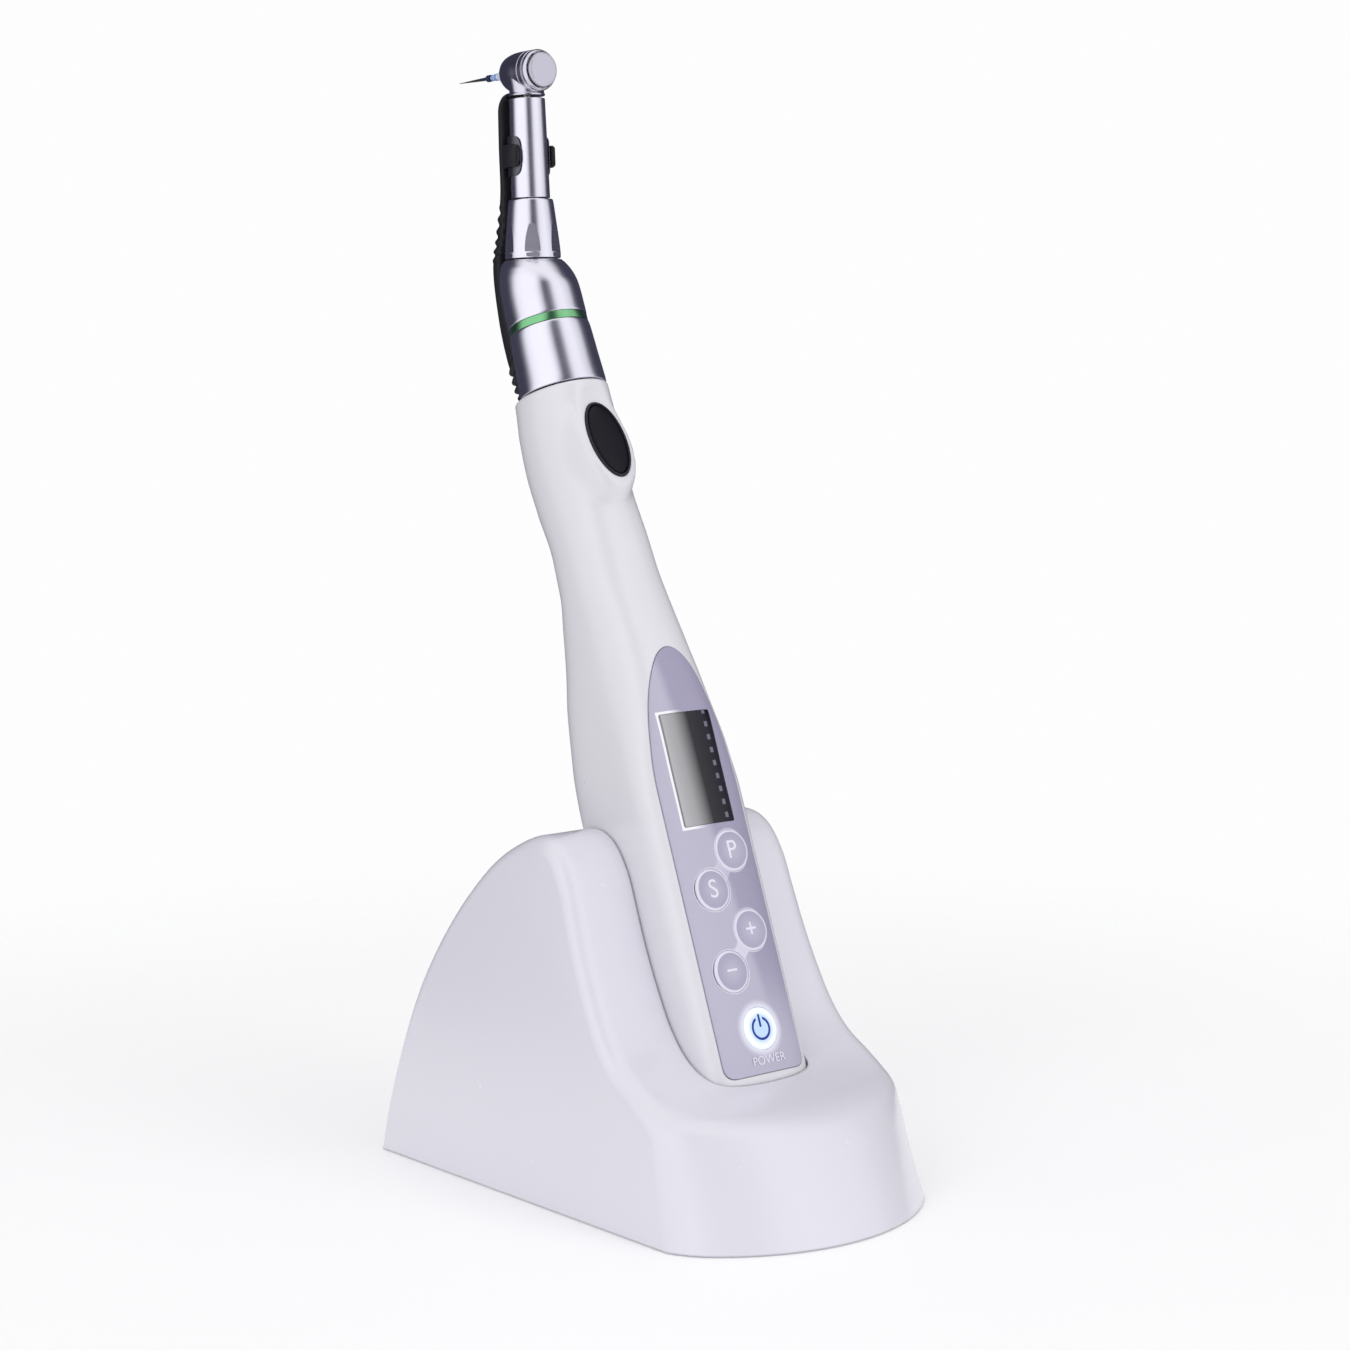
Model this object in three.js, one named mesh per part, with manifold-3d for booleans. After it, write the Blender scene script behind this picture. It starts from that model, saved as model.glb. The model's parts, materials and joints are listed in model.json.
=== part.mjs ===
// Endodontic motor: a cordless handpiece with a contra-angle head, standing in its charging base.
// Millimetres, +Z up, front towards -Y. The base stands on Z = 0 and the handpiece leans back.
import * as THREE from 'three';
import { mergeVertices } from 'three/addons/utils/BufferGeometryUtils.js';
import Module from 'manifold-3d';

const wasm = await Module();
wasm.setup();

// ---------------------------------------------------------------- driving dimensions
const GAP = 0.3; // clearance between neighbouring pieces
const CENTRE_SHIFT = -0.5; // puts the middle of the whole object over the origin

const BASE_HALF = 36.5; // half width of the charging base at the table
const BASE_TAPER = 0.055; // how much each side leans in, per millimetre of height
const BASE_HEIGHT = 80.6;
const BASE_RIM = 0.3; // lower edge of the shell, above the table
const BASE_WALL = 2.6;
const PLATE_PLAY = 1.4; // room all round the bottom plate, inside the shell
const BASE_FILLET = 5;
const BASE_DEPTH = 58; // about half of the base from front to back
const FRONT_RADIUS = 46; // plan radius of the bowed front wall
const FRONT_BULGE = 6; // how far the middle of the front wall stands ahead of the side outline

const LEAN = THREE.MathUtils.degToRad(20.5); // lean of the handpiece from vertical
const HEEL = { y: -41, z: 27.5 }; // front lower edge of the handpiece in its cradle
const BODY_WALL = 2.2;
const CROWN = 0.01; // sag of the control face across its width: y = CROWN * x^2
const PANEL_HALF = 11.3;
const PANEL_LOW = 3.6;
const PANEL_HIGH = 99.4;
const PANEL_THICK = 0.6;
const KEY_RADIUS = 4.6;
const START_ANGLE = THREE.MathUtils.degToRad(-11); // extra lean of the start button's face

const AXIS = 15.2; // depth of the motor axis behind the control face
const JOINT = 163.5; // end of the plastic body along the axis
const BEND = 195.5; // where the contra-angle turns towards its neck
const BEND_ANGLE = THREE.MathUtils.degToRad(17.5);
const NECK_LOW = 13.7; // distances along the neck from the bend
const NECK_HIGH = 36.8;
const HEAD = 42.5;

const MODULE = 0.35; // gear tooth module
const SUN_TEETH = 12;
const PLANET_TEETH = 12;
const RING_TEETH = 36;
const PINION_TEETH = 8;
const CROWN_TEETH = 16;
const BEVEL_TEETH = 12;

// ---------------------------------------------------------------- materials
const paint = (color, roughness, metalness) =>
  new THREE.MeshStandardMaterial({ color, roughness, metalness });
const SHELL = paint(0xe4e2e9, 0.3, 0);
const OVERLAY = paint(0xa9a3bd, 0.45, 0);
const KEY = paint(0xb4afc6, 0.45, 0);
const LAMP = paint(0xf2f6ff, 0.4, 0);
const GLASS = paint(0x3a3d40, 0.1, 0);
const BLACK = paint(0x15151b, 0.4, 0);
const RUBBER = paint(0x2a2a2c, 0.8, 0);
const SATIN = paint(0xb9b6c0, 0.3, 1);
const STEEL = paint(0x8d8d92, 0.4, 1);
const BRASS = paint(0xc9a24a, 0.35, 1);
const GREEN = paint(0x3f9a4e, 0.4, 0.3);
const BOARD = paint(0x1f6b3a, 0.6, 0);
const CELL = paint(0x2f4f8f, 0.5, 0);
const TOOL = paint(0xa9c4e6, 0.4, 0);

// ---------------------------------------------------------------- solids
// Merges the shared vertices of a closed geometry, keeping positions only.
function weld(geometry) {
  const plain = geometry.clone();
  plain.deleteAttribute('normal');
  plain.deleteAttribute('uv');
  return mergeVertices(plain, 1e-4);
}

// Turns a closed geometry into a solid for joining and cutting.
function solid(geometry) {
  const welded = weld(geometry);
  const mesh = new wasm.Mesh({
    numProp: 3,
    vertProperties: new Float32Array(welded.attributes.position.array),
    triVerts: new Uint32Array(welded.index.array),
  });
  mesh.merge();
  return new wasm.Manifold(mesh);
}

function geometryOf(manifold) {
  const mesh = manifold.getMesh();
  const geometry = new THREE.BufferGeometry();
  geometry.setAttribute('position', new THREE.BufferAttribute(new Float32Array(mesh.vertProperties), 3));
  geometry.setIndex(new THREE.BufferAttribute(new Uint32Array(mesh.triVerts), 1));
  return geometry;
}

const join = (first, ...rest) => geometryOf(rest.reduce((sum, one) => sum.add(solid(one)), solid(first)));
const cut = (first, ...rest) => geometryOf(rest.reduce((sum, one) => sum.subtract(solid(one)), solid(first)));
const common = (first, second) => geometryOf(solid(first).intersect(solid(second)));
const moved = (geometry, x, y, z) => geometry.clone().translate(x, y, z);

function box(x0, x1, y0, y1, z0, z1) {
  return new THREE.BoxGeometry(x1 - x0, y1 - y0, z1 - z0)
    .translate((x0 + x1) / 2, (y0 + y1) / 2, (z0 + z1) / 2);
}

// A turned piece about Z. Each profile point is [radius, height]; an open profile ends on the axis.
function turned(profile, segments = 24) {
  const points = profile.map(([r, z]) => new THREE.Vector2(r, z));
  if (THREE.ShapeUtils.isClockWise(points)) points.reverse();
  const first = points[0];
  if (profile.every(([r]) => r > 0)) points.push(first.clone());
  return new THREE.LatheGeometry(points, segments).rotateX(Math.PI / 2);
}

const ring = (outer, inner, z0, z1, segments) =>
  turned([[inner, z0], [outer, z0], [outer, z1], [inner, z1]], segments);
const rod = (radius, z0, z1, segments) => turned([[0, z0], [radius, z0], [radius, z1], [0, z1]], segments);

// The same pieces about Y: heights run backwards in the first and forwards in the second.
const inward = (geometry) => geometry.clone().rotateX(-Math.PI / 2);
const facing = (geometry) => geometry.clone().rotateX(Math.PI / 2);

// An outline in X and Z pushed along Y from y0 to y1.
function pushed(shape, y0, y1, curveSegments = 7) {
  return new THREE.ExtrudeGeometry(shape, { depth: y1 - y0, bevelEnabled: false, curveSegments })
    .rotateX(Math.PI / 2)
    .translate(0, y1, 0);
}

// An outline in Y and Z pushed along X over a centred width.
function widened(points, width) {
  const shape = new THREE.Shape(points.map(([y, z]) => new THREE.Vector2(y, z)));
  return new THREE.ExtrudeGeometry(shape, { depth: width, bevelEnabled: false })
    .translate(0, 0, -width / 2)
    .applyMatrix4(new THREE.Matrix4().set(0, 0, 1, 0, 1, 0, 0, 0, 0, 1, 0, 0, 0, 0, 0, 1));
}

const shapeOf = (points) => new THREE.Shape(points.map(([x, y]) => new THREE.Vector2(x, y)));

function ellipse(rx, rz, cx = 0, cz = 0) {
  return new THREE.Shape().absellipse(cx, cz, rx, rz, 0, 2 * Math.PI);
}

// A closed skin through equal rings of points, with flat ends.
function loft(rings, flatten) {
  const count = rings[0].length;
  const positions = rings.flatMap((points) => points.flatMap((p) => [p.x, p.y, p.z]));
  const faces = [];
  for (let i = 0; i < rings.length - 1; i += 1) {
    for (let j = 0; j < count; j += 1) {
      const a = i * count + j;
      const b = i * count + ((j + 1) % count);
      faces.push(a, b, b + count, a, b + count, a + count);
    }
  }
  const cap = THREE.ShapeUtils.triangulateShape(rings[0].map(flatten), []);
  const last = (rings.length - 1) * count;
  const turn = THREE.ShapeUtils.isClockWise(rings[0].map(flatten)) ? -1 : 1;
  for (const [a, b, c] of cap) {
    if (turn > 0) faces.push(a, c, b, last + a, last + b, last + c);
    else faces.push(a, b, c, last + a, last + c, last + b);
  }
  const geometry = new THREE.BufferGeometry();
  geometry.setAttribute('position', new THREE.BufferAttribute(new Float32Array(positions), 3));
  geometry.setIndex(faces);
  const welded = solid(geometry);
  return welded.volume() < 0 || welded.isEmpty() ? flipped(geometry) : geometry;
}

function flipped(geometry) {
  const index = Array.from(geometry.index.array);
  for (let i = 0; i < index.length; i += 3) [index[i], index[i + 1]] = [index[i + 1], index[i]];
  geometry.setIndex(index);
  return geometry;
}

// ---------------------------------------------------------------- the assembly
const endodonticMotor = new THREE.Group();
const charger = new THREE.Group();
const handpiece = new THREE.Group();
handpiece.position.set(0, HEEL.y, HEEL.z);
handpiece.rotation.x = -LEAN;
const contraAngle = new THREE.Group();
contraAngle.position.set(0, AXIS, 0);
const neck = new THREE.Group();
neck.position.set(0, 0, BEND);
neck.rotation.x = BEND_ANGLE;
const head = new THREE.Group();
head.position.set(0, 0, HEAD);
neck.add(head);
contraAngle.add(neck);
handpiece.add(contraAngle);
endodonticMotor.add(charger, handpiece);
endodonticMotor.position.y = CENTRE_SHIFT;

function add(parent, name, geometry, material) {
  const mesh = new THREE.Mesh(geometry, material);
  mesh.name = name;
  parent.add(mesh);
  return mesh;
}

// ---------------------------------------------------------------- handpiece body outline
// Each section: height along the axis, half width, front depth, back depth, squareness of front and back.
const BODY_SECTIONS = [
  [0, 14.7, 0, 32, 7.5, 3.4],
  [66, 14.7, 0, 32, 7.5, 3.4],
  [76, 14.2, 0, 32.3, 5.5, 3.2],
  [84, 13.4, 0, 32, 3.8, 3],
  [92, 12.7, 0.1, 31.3, 3, 2.8],
  [101, 12, 1.1, 29.5, 2.6, 2.5],
  [110, 11.3, 2.7, 28, 2.5, 2.3],
  [118, 10.9, 3.9, 26.4, 2.3, 2.2],
  [126, 10.7, 4.4, 26.4, 2.2, 2.1],
  [138, 10.4, 5.2, 28.8, 2.1, 2],
  [147, 10.6, 5, 29.6, 2, 2],
  [155, 10.8, 4.8, 29, 2, 2],
  [JOINT, 10.4, 4.8, 28, 2, 2],
];
const SECTION_POINTS = 24;

function sectionRing([z, half, front, back, nFront, nBack], inset, low = z) {
  const middle = (front + back) / 2;
  const width = half - inset;
  return Array.from({ length: SECTION_POINTS }, (_, i) => {
    const angle = (2 * Math.PI * i) / SECTION_POINTS;
    const c = Math.cos(angle);
    const s = Math.sin(angle);
    const power = 2 / (s < 0 ? nFront : nBack);
    const x = width * Math.sign(c) * Math.abs(c) ** power;
    const reach = Math.abs(s) ** power;
    const flat = THREE.MathUtils.smoothstep(nFront, 2, 7);
    const y = s < 0
      ? middle - reach * (middle - front - inset - flat * CROWN * x * x)
      : middle + reach * (back - inset - middle);
    return new THREE.Vector3(x, y, low);
  });
}

const plan = (p) => new THREE.Vector2(p.x, p.y);

function bodyLoft(inset, low, high) {
  const rings = BODY_SECTIONS.map((section) => {
    const z = THREE.MathUtils.clamp(section[0], low, high);
    return sectionRing(section, inset, z);
  });
  return loft(rings, plan);
}

// A straight prism with the section of the lower body, for the cradle.
function cradlePrism(grow, low, high) {
  const section = BODY_SECTIONS[0];
  return loft([sectionRing(section, -grow, low), sectionRing(section, -grow, high)], plan);
}

// ---------------------------------------------------------------- charging base
// Side outline of the base in Y and Z: up the back, over the ridge, down the slope to the front shelf.
const BASE_BACK = [[56.2, BASE_RIM], [53.8, 12], [50.8, 22], [47, 32.6], [42, 43.2], [35.3, 53.7], [27, 64], [17.5, 73]];
const BASE_RIDGE = [[9.5, 77.8], [3, BASE_HEIGHT], [-2, 80], [-6.2, 77.4]];
const BASE_SLOPE = [[-10.3, 71.7], [-13.2, 64.2], [-16.5, 55.7], [-20.5, 47.2], [-24.8, 39.7], [-29.8, 34.2], [-36.5, 30.4], [-44.5, 27.5]];
const BASE_FRONT = [[-49.6, 25.7], [-52.6, 24], [-54.2, 21.5], [-62.4, BASE_RIM]];
const BASE_OUTLINE = [...BASE_BACK, ...BASE_RIDGE, ...BASE_SLOPE, ...BASE_FRONT];

// The outline drawn in by a distance, keeping the lower edge level.
function insetOutline(distance) {
  const count = BASE_OUTLINE.length;
  return BASE_OUTLINE.map(([y, z], i) => {
    const [y0, z0] = BASE_OUTLINE[Math.max(i - 1, 0)];
    const [y1, z1] = BASE_OUTLINE[Math.min(i + 1, count - 1)];
    const length = Math.hypot(y1 - y0, z1 - z0);
    const normal = [(z1 - z0) / length, -(y1 - y0) / length];
    const level = z <= BASE_RIM ? BASE_RIM : z - normal[1] * distance;
    return [y - normal[0] * distance, level];
  });
}

// The base as a row of outlines across X, drawn in towards each side for the rounded edges.
function baseLoft() {
  const steps = [-1, -0.98, -0.94, -0.875, -0.6, -0.3, 0, 0.3, 0.6, 0.875, 0.94, 0.98, 1];
  const rings = steps.map((step) => {
    const x = step * BASE_HALF;
    const over = 0.92 * Math.max(0, Math.abs(x) - (BASE_HALF - BASE_FILLET));
    const round = BASE_FILLET - Math.sqrt(BASE_FILLET ** 2 - over ** 2);
    const bow = FRONT_RADIUS - Math.sqrt(FRONT_RADIUS ** 2 - x ** 2);
    return insetOutline(round).map(([y, z]) => {
      const forward = THREE.MathUtils.smoothstep(-y, 32, 60);
      const lean = 1 - (BASE_TAPER * z) / BASE_HALF;
      return new THREE.Vector3(x * lean, y - forward * (FRONT_BULGE - bow), z);
    });
  });
  return loft(rings, (p) => new THREE.Vector2(p.y, p.z));
}

// The hollow under the shell: the same form, drawn in by the wall thickness.
const baseHollow = () => baseLoft()
  .scale(1 - BASE_WALL / BASE_HALF, 1 - BASE_WALL / BASE_DEPTH, 1)
  .translate(0, 0, -BASE_WALL);

const inCradle = (geometry) => geometry.clone().rotateX(-LEAN).translate(0, HEEL.y, HEEL.z);
const CRADLE_FLOOR = -0.9;
const CRADLE_PLAY = 0.4;
const CRADLE_WALL = 2.2;

const BOSSES = [[-26, -37], [26, -37], [-25, 34], [25, 34]];
const JACK = { z: 11, radius: 3.1, half: 5.2, front: 42 };
const CONTACT_X = 5;
const CONTACT_Y = 17;

function baseShell() {
  const outer = baseLoft();
  const inner = baseHollow();
  const walls = inCradle(cradlePrism(CRADLE_PLAY + CRADLE_WALL, CRADLE_FLOOR - CRADLE_WALL, 90));
  let shell = join(cut(outer, inner), common(outer, walls));
  for (const [x, y] of BOSSES) {
    shell = join(shell, common(outer, moved(rod(3.4, 3.4, 70, 12), x, y, 0)));
  }
  const holes = BOSSES.map(([x, y]) => moved(rod(1.5, 3, 13, 8), x, y, 0));
  const blockSlot = inCradle(box(-9.3, 9.3, CONTACT_Y - 4.3, CONTACT_Y + 4.3, -6, 2));
  const inlet = box(-JACK.half - GAP, JACK.half + GAP, 38, 60, JACK.z - 5.2 - GAP, JACK.z + 5.2 + GAP);
  const pocket = inCradle(cradlePrism(CRADLE_PLAY, CRADLE_FLOOR, 100));
  return cut(shell, ...holes, pocket, blockSlot, inlet);
}

// The bottom plate: straight sides and back with cut corners, and a bowed front edge.
function plateBlank() {
  const half = BASE_HALF - BASE_WALL - PLATE_PLAY;
  const back = 55 - BASE_WALL - PLATE_PLAY;
  const shape = new THREE.Shape();
  shape.moveTo(half, -42);
  shape.lineTo(half, back - 5);
  shape.lineTo(half - 4, back);
  shape.lineTo(4 - half, back);
  shape.lineTo(-half, back - 5);
  shape.lineTo(-half, -42);
  shape.lineTo(-28, -50);
  shape.quadraticCurveTo(0, -74.4, 28, -50);
  shape.closePath();
  return new THREE.ExtrudeGeometry(shape, { depth: 2.5, bevelEnabled: false, curveSegments: 12 })
    .translate(0, 0, BASE_RIM);
}

function basePlate() {
  const slab = plateBlank();
  const heads = BOSSES.map(([x, y]) => moved(rod(3, 0, 2.1, 12), x, y, 0));
  const shanks = BOSSES.map(([x, y]) => moved(rod(1.6, 0, 4, 8), x, y, 0));
  const seats = FEET.map(([x, y]) => moved(rod(5.3, 0, 1.8, 16), x, y, 0));
  return cut(slab, ...heads, ...shanks, ...seats);
}

const FEET = [[-24, -48], [24, -48], [-26, 44], [26, 44]];
add(charger, 'base_shell', baseShell(), SHELL);
add(charger, 'base_plate', basePlate(), SHELL);
FEET.forEach(([x, y], i) => {
  add(charger, `foot_${i + 1}`, moved(rod(5, 0, 1.5, 16), x, y, 0), RUBBER);
});
BOSSES.forEach(([x, y], i) => {
  const screw = turned([[0, 0.9], [2.6, 0.9], [2.6, 1.8], [1.1, 1.8], [1.1, 11], [0, 12]], 10);
  add(charger, `base_screw_${i + 1}`, moved(screw, x, y, 0), STEEL);
});
add(charger, 'base_weight', box(-19, 19, 2, 37, 3.4, 13.4), STEEL);
add(charger, 'charger_board', box(-18, 18, 3, 36, 17, 18.6), BOARD);

const jackBody = box(-JACK.half, JACK.half, JACK.front, 51.2, JACK.z - 5.2, JACK.z + 5.2);
const jackBore = moved(inward(rod(JACK.radius, 44, 60, 20)), 0, 0, JACK.z);
add(charger, 'power_jack', cut(jackBody, jackBore), BLACK);

const cradle = new THREE.Group();
cradle.position.copy(handpiece.position);
cradle.rotation.copy(handpiece.rotation);
charger.add(cradle);
const pinHoles = [-CONTACT_X, CONTACT_X].map((x) => moved(rod(1.5, -8, 2, 12), x, CONTACT_Y, 0));
const contactBlock = box(-9, 9, CONTACT_Y - 4, CONTACT_Y + 4, -5.6, -0.95);
add(cradle, 'contact_block', cut(contactBlock, ...pinHoles), BLACK);
[-CONTACT_X, CONTACT_X].forEach((x, i) => {
  const pin = turned([[0, -4.6], [1.2, -4.6], [1.2, -0.7], [0.8, -0.35], [0, -0.3]], 12);
  add(cradle, `charge_pin_${i + 1}`, moved(pin, x, CONTACT_Y, 0), BRASS);
});

// ---------------------------------------------------------------- handpiece casing
// The control panel's outline: straight sides, a rounded arch above and small corners below.
function panelShape(grow) {
  const half = PANEL_HALF + grow;
  const low = PANEL_LOW - grow;
  const high = PANEL_HIGH + grow;
  const corner = 3;
  const shape = new THREE.Shape();
  shape.moveTo(-half + corner, low);
  shape.lineTo(half - corner, low);
  shape.quadraticCurveTo(half, low, half, low + corner);
  shape.lineTo(half, 66);
  shape.bezierCurveTo(half, 80, half - 4.4, high, 0, high);
  shape.bezierCurveTo(-half + 4.4, high, -half, 80, -half, 66);
  shape.lineTo(-half, low + corner);
  shape.quadraticCurveTo(-half, low, -half + corner, low);
  return shape;
}

// A sheet that follows the face of the body, between two depths below its surface.
const faceSheet = (top, bottom) => cut(bodyLoft(top, 0, JOINT), bodyLoft(bottom, -1, JOINT + 1));
const PROUD = -0.15; // the overlay stands this far out of the casing

const KEYS = [
  { name: 'key_program', x: 4, z: 52.5 },
  { name: 'key_select', x: -3.8, z: 44.6 },
  { name: 'key_plus', x: 4.1, z: 34.6 },
  { name: 'key_minus', x: -3.9, z: 26.4 },
  { name: 'key_power', x: 0.3, z: 13.2 },
];
const WINDOW = { half: 7.2, low: 59, high: 84.3 };

const windowShape = (grow) => shapeOf([
  [-WINDOW.half - grow, WINDOW.low - grow],
  [WINDOW.half + grow, WINDOW.low - grow],
  [WINDOW.half + grow, WINDOW.high + grow],
  [-WINDOW.half - grow, WINDOW.high + grow],
]);

const startFrame = (geometry) => geometry.clone().rotateX(START_ANGLE).translate(0, 3.9, 148.7);

// The two shells meet on a face that runs down the back corner of the body.
function rearRegion(shift) {
  return widened([
    [29.3 + shift, -4], [29.3 + shift, 70], [28.3 + shift, 92], [23.6 + shift, 118],
    [24 + shift, 127], [26.2 + shift, 140], [25.5 + shift, 170], [60, 170], [60, -4],
  ], 60);
}

function bodyShell() {
  const outer = join(bodyLoft(0, 0, JOINT), startFrame(pushed(ellipse(6.1, 10.4), 0.2, 6)));
  const hollow = bodyLoft(BODY_WALL, BODY_WALL, JOINT - 1.4);
  const mouth = moved(rod(8.4, 150, 180, 32), 0, AXIS, 0);
  return cut(outer, hollow, mouth);
}

function frontHousing() {
  const recess = cut(pushed(panelShape(GAP), -3, 6), bodyLoft(PANEL_THICK + 0.1, 0, JOINT));
  const keyWells = KEYS.map(({ x, z }) => moved(inward(rod(KEY_RADIUS + GAP, -4, 1.5, 16)), x, 0, z));
  const stemHoles = KEYS.map(({ x, z }) => moved(inward(rod(1.6, 0, 5, 8)), x, 0, z));
  const display = pushed(windowShape(-0.8), -3, 6);
  const startWell = startFrame(pushed(ellipse(5.4, 9.65), -4, 2.0));
  const startStem = startFrame(inward(rod(1.7, 0, 7, 12)));
  const contacts = [-CONTACT_X, CONTACT_X].map((x) => moved(rod(2.1, -1, 4, 12), x, CONTACT_Y, 0));
  const shell = cut(bodyShell(), rearRegion(0), recess, ...keyWells, ...stemHoles);
  return cut(shell, display, startWell, startStem, ...contacts);
}

const SCREW_HEIGHT = 96;

function rearHousing() {
  const shell = common(bodyShell(), rearRegion(GAP));
  const boss = common(bodyLoft(0, 0, JOINT), moved(inward(rod(3.6, 22, 29, 12)), 0, 0, SCREW_HEIGHT));
  const hole = moved(inward(rod(1.5, 20, 40, 10)), 0, 0, SCREW_HEIGHT);
  const seat = moved(inward(rod(2.5, 27.6, 40, 12)), 0, 0, SCREW_HEIGHT);
  return cut(join(shell, boss), hole, seat);
}

add(handpiece, 'front_housing', frontHousing(), SHELL);
add(handpiece, 'rear_housing', rearHousing(), SHELL);

const keyHoles = KEYS.map(({ x, z }) => moved(inward(rod(KEY_RADIUS + GAP, -4, 4, 16)), x, 0, z));
const overlay = common(pushed(panelShape(0), -3, 6), faceSheet(PROUD, PANEL_THICK - 0.2));
add(handpiece, 'control_panel', cut(overlay, pushed(windowShape(GAP), -3, 6), ...keyHoles), OVERLAY);
const pane = common(pushed(windowShape(0), -3, 6), faceSheet(PROUD + 0.05, PANEL_THICK - 0.2));
add(handpiece, 'display_window', pane, GLASS);
add(handpiece, 'display_module', box(-7.8, 7.8, 3.5, 4.9, 60, 83.4), BLACK);
add(handpiece, 'main_board', box(-8.8, 8.8, 5.2, 6.6, 5, 86), BOARD);
add(handpiece, 'battery_cell', moved(rod(8.8, 5, 54, 28), 0, 18.5, 0), CELL);

for (const { name, x, z } of KEYS) {
  const key = turned([[0, -0.35], [4.3, -0.35], [KEY_RADIUS, -0.1], [KEY_RADIUS, 0.5], [1.2, 0.5], [1.2, 3.6], [0, 3.6]], 16);
  add(handpiece, name, moved(inward(key), x, 0, z), name === 'key_power' ? LAMP : KEY);
}

const start = new THREE.Group();
start.position.set(0, 3.9, 148.7);
start.rotation.x = START_ANGLE;
handpiece.add(start);
const startPad = pushed(ellipse(4.35, 8.6), -0.25, 1.1);
add(start, 'start_button', join(startPad, inward(rod(1.3, 0.5, 3.2, 12))), BLACK);
const bezelShape = ellipse(5.1, 9.35);
bezelShape.holes.push(new THREE.Path().absellipse(0, 0, 4.65, 8.9, 0, 2 * Math.PI));
add(start, 'start_button_bezel', pushed(bezelShape, -0.3, 1.6), BLACK);
add(handpiece, 'start_switch', box(-2.2, 2.2, 8, 9, 145.6, 151.6), BLACK);

const heelContact = turned([[0, 0.1], [1.8, 0.1], [1.8, 2.8], [0, 2.8]], 12);
[-CONTACT_X, CONTACT_X].forEach((x, i) => {
  add(handpiece, `charge_contact_${i + 1}`, moved(heelContact, x, CONTACT_Y, 0), BRASS);
});
const shellScrew = turned([[0, 19], [1.2, 20], [1.2, 27.9], [2.2, 27.9], [2.2, 29.2], [0, 29.2]], 12);
add(handpiece, 'housing_screw', moved(inward(shellScrew), 0, 0, SCREW_HEIGHT), STEEL);

// ---------------------------------------------------------------- motor
const motorAxis = new THREE.Group();
motorAxis.position.set(0, AXIS, 0);
handpiece.add(motorAxis);
const can = turned([
  [1.4, 124], [6, 124], [6, 156.6], [1.4, 156.6], [1.4, 155.6], [5.2, 155.6], [5.2, 125], [1.4, 125],
], 24);
add(motorAxis, 'motor_can', can, STEEL);
const rotor = turned([
  [0, 122], [1, 122], [1, 127], [4.6, 127], [4.6, 153], [1, 153], [1, 164], [2.4, 164], [2.4, 168], [0, 168],
], 20);
add(motorAxis, 'motor_rotor', cut(rotor, box(-3, 3, -1, 1, 166, 170)), STEEL);
const nose = turned([
  [2.9, 157], [5, 157], [5, 158.4], [8, 158.4], [8, 161.6], [6.5, 161.6], [6.5, 171], [6, 171.6],
  [6, 172.6], [6.5, 173.2], [6.5, 175.4], [6, 176], [2.9, 176],
], 20);
add(motorAxis, 'nose_collar', nose, SATIN);

// ---------------------------------------------------------------- contra-angle casing
const sheath = turned([
  [6.9, JOINT + GAP], [9.9, JOINT + GAP], [10, JOINT + 0.8], [9.7, 170], [9.25, 178.1], [9.15, 178.4],
  [8.25, 178.4], [8.25, 186], [7.45, 186], [7.45, 180.2], [1.5, 180.2], [1.5, 178.6], [6.9, 178.6],
], 24);
add(contraAngle, 'sheath', sheath, SATIN);
add(contraAngle, 'ratio_ring', ring(9.15, 8.55, 178.7, 180.1, 24), GREEN);

const SHOULDER_LOW = 180.4;

// The shoulder above the coloured ring turns from the body axis to the neck axis.
function shoulderRings(profile) {
  const length = BEND - SHOULDER_LOW;
  return profile.map(([radius, t]) => {
    const turn = BEND_ANGLE * THREE.MathUtils.smoothstep(t, 0.25, 1);
    return Array.from({ length: 24 }, (_, i) => {
      const angle = (2 * Math.PI * i) / 24;
      const depth = radius * Math.sin(angle);
      return new THREE.Vector3(
        radius * Math.cos(angle),
        depth * Math.cos(turn),
        SHOULDER_LOW + length * t + depth * Math.sin(turn),
      );
    });
  });
}
const shoulderOuter = [[9.15, 0], [9.1, 0.3], [9, 0.5], [8.7, 0.68], [8.1, 0.83], [7.3, 0.94], [6.5, 1]];
const shoulderInner = [[8.55, -0.1], [8.55, 0.44], [6.6, 0.56], [6.2, 0.75], [4.6, 1.02], [4.6, 1.2]];
const shoulder = cut(loft(shoulderRings(shoulderOuter), plan), loft(shoulderRings(shoulderInner), plan));
add(contraAngle, 'shoulder', shoulder, SATIN);

const collar = turned([
  [4.6, GAP], [6.35, GAP], [6.4, 1.2], [6.2, 4], [5.75, 8], [5.2, 12.6], [5, NECK_LOW], [3.2, NECK_LOW], [3.2, 5],
  [4.6, 4],
], 24);
// Six sloping flats run out into the taper, so each one ends in a pointed arch.
const FLAT_TURN = THREE.MathUtils.degToRad(22);
const flats = [0, 1, 2, 3, 4, 5].map((i) => widened([[6.1, 1.7], [5.72, 8], [8, 8], [8, 1.7]], 7)
  .rotateZ((Math.PI / 3) * i + FLAT_TURN));
add(neck, 'neck_collar', cut(collar, ...flats), SATIN);
const tube = turned([
  [2.6, NECK_LOW + GAP], [4.45, NECK_LOW + GAP], [4.1, NECK_HIGH - GAP], [2.6, NECK_HIGH - GAP],
], 24);
add(neck, 'neck_tube', tube, SATIN);
add(neck, 'neck_bearing', ring(2.35, 1.25, 33, 35.5, 20), BRASS);

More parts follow.
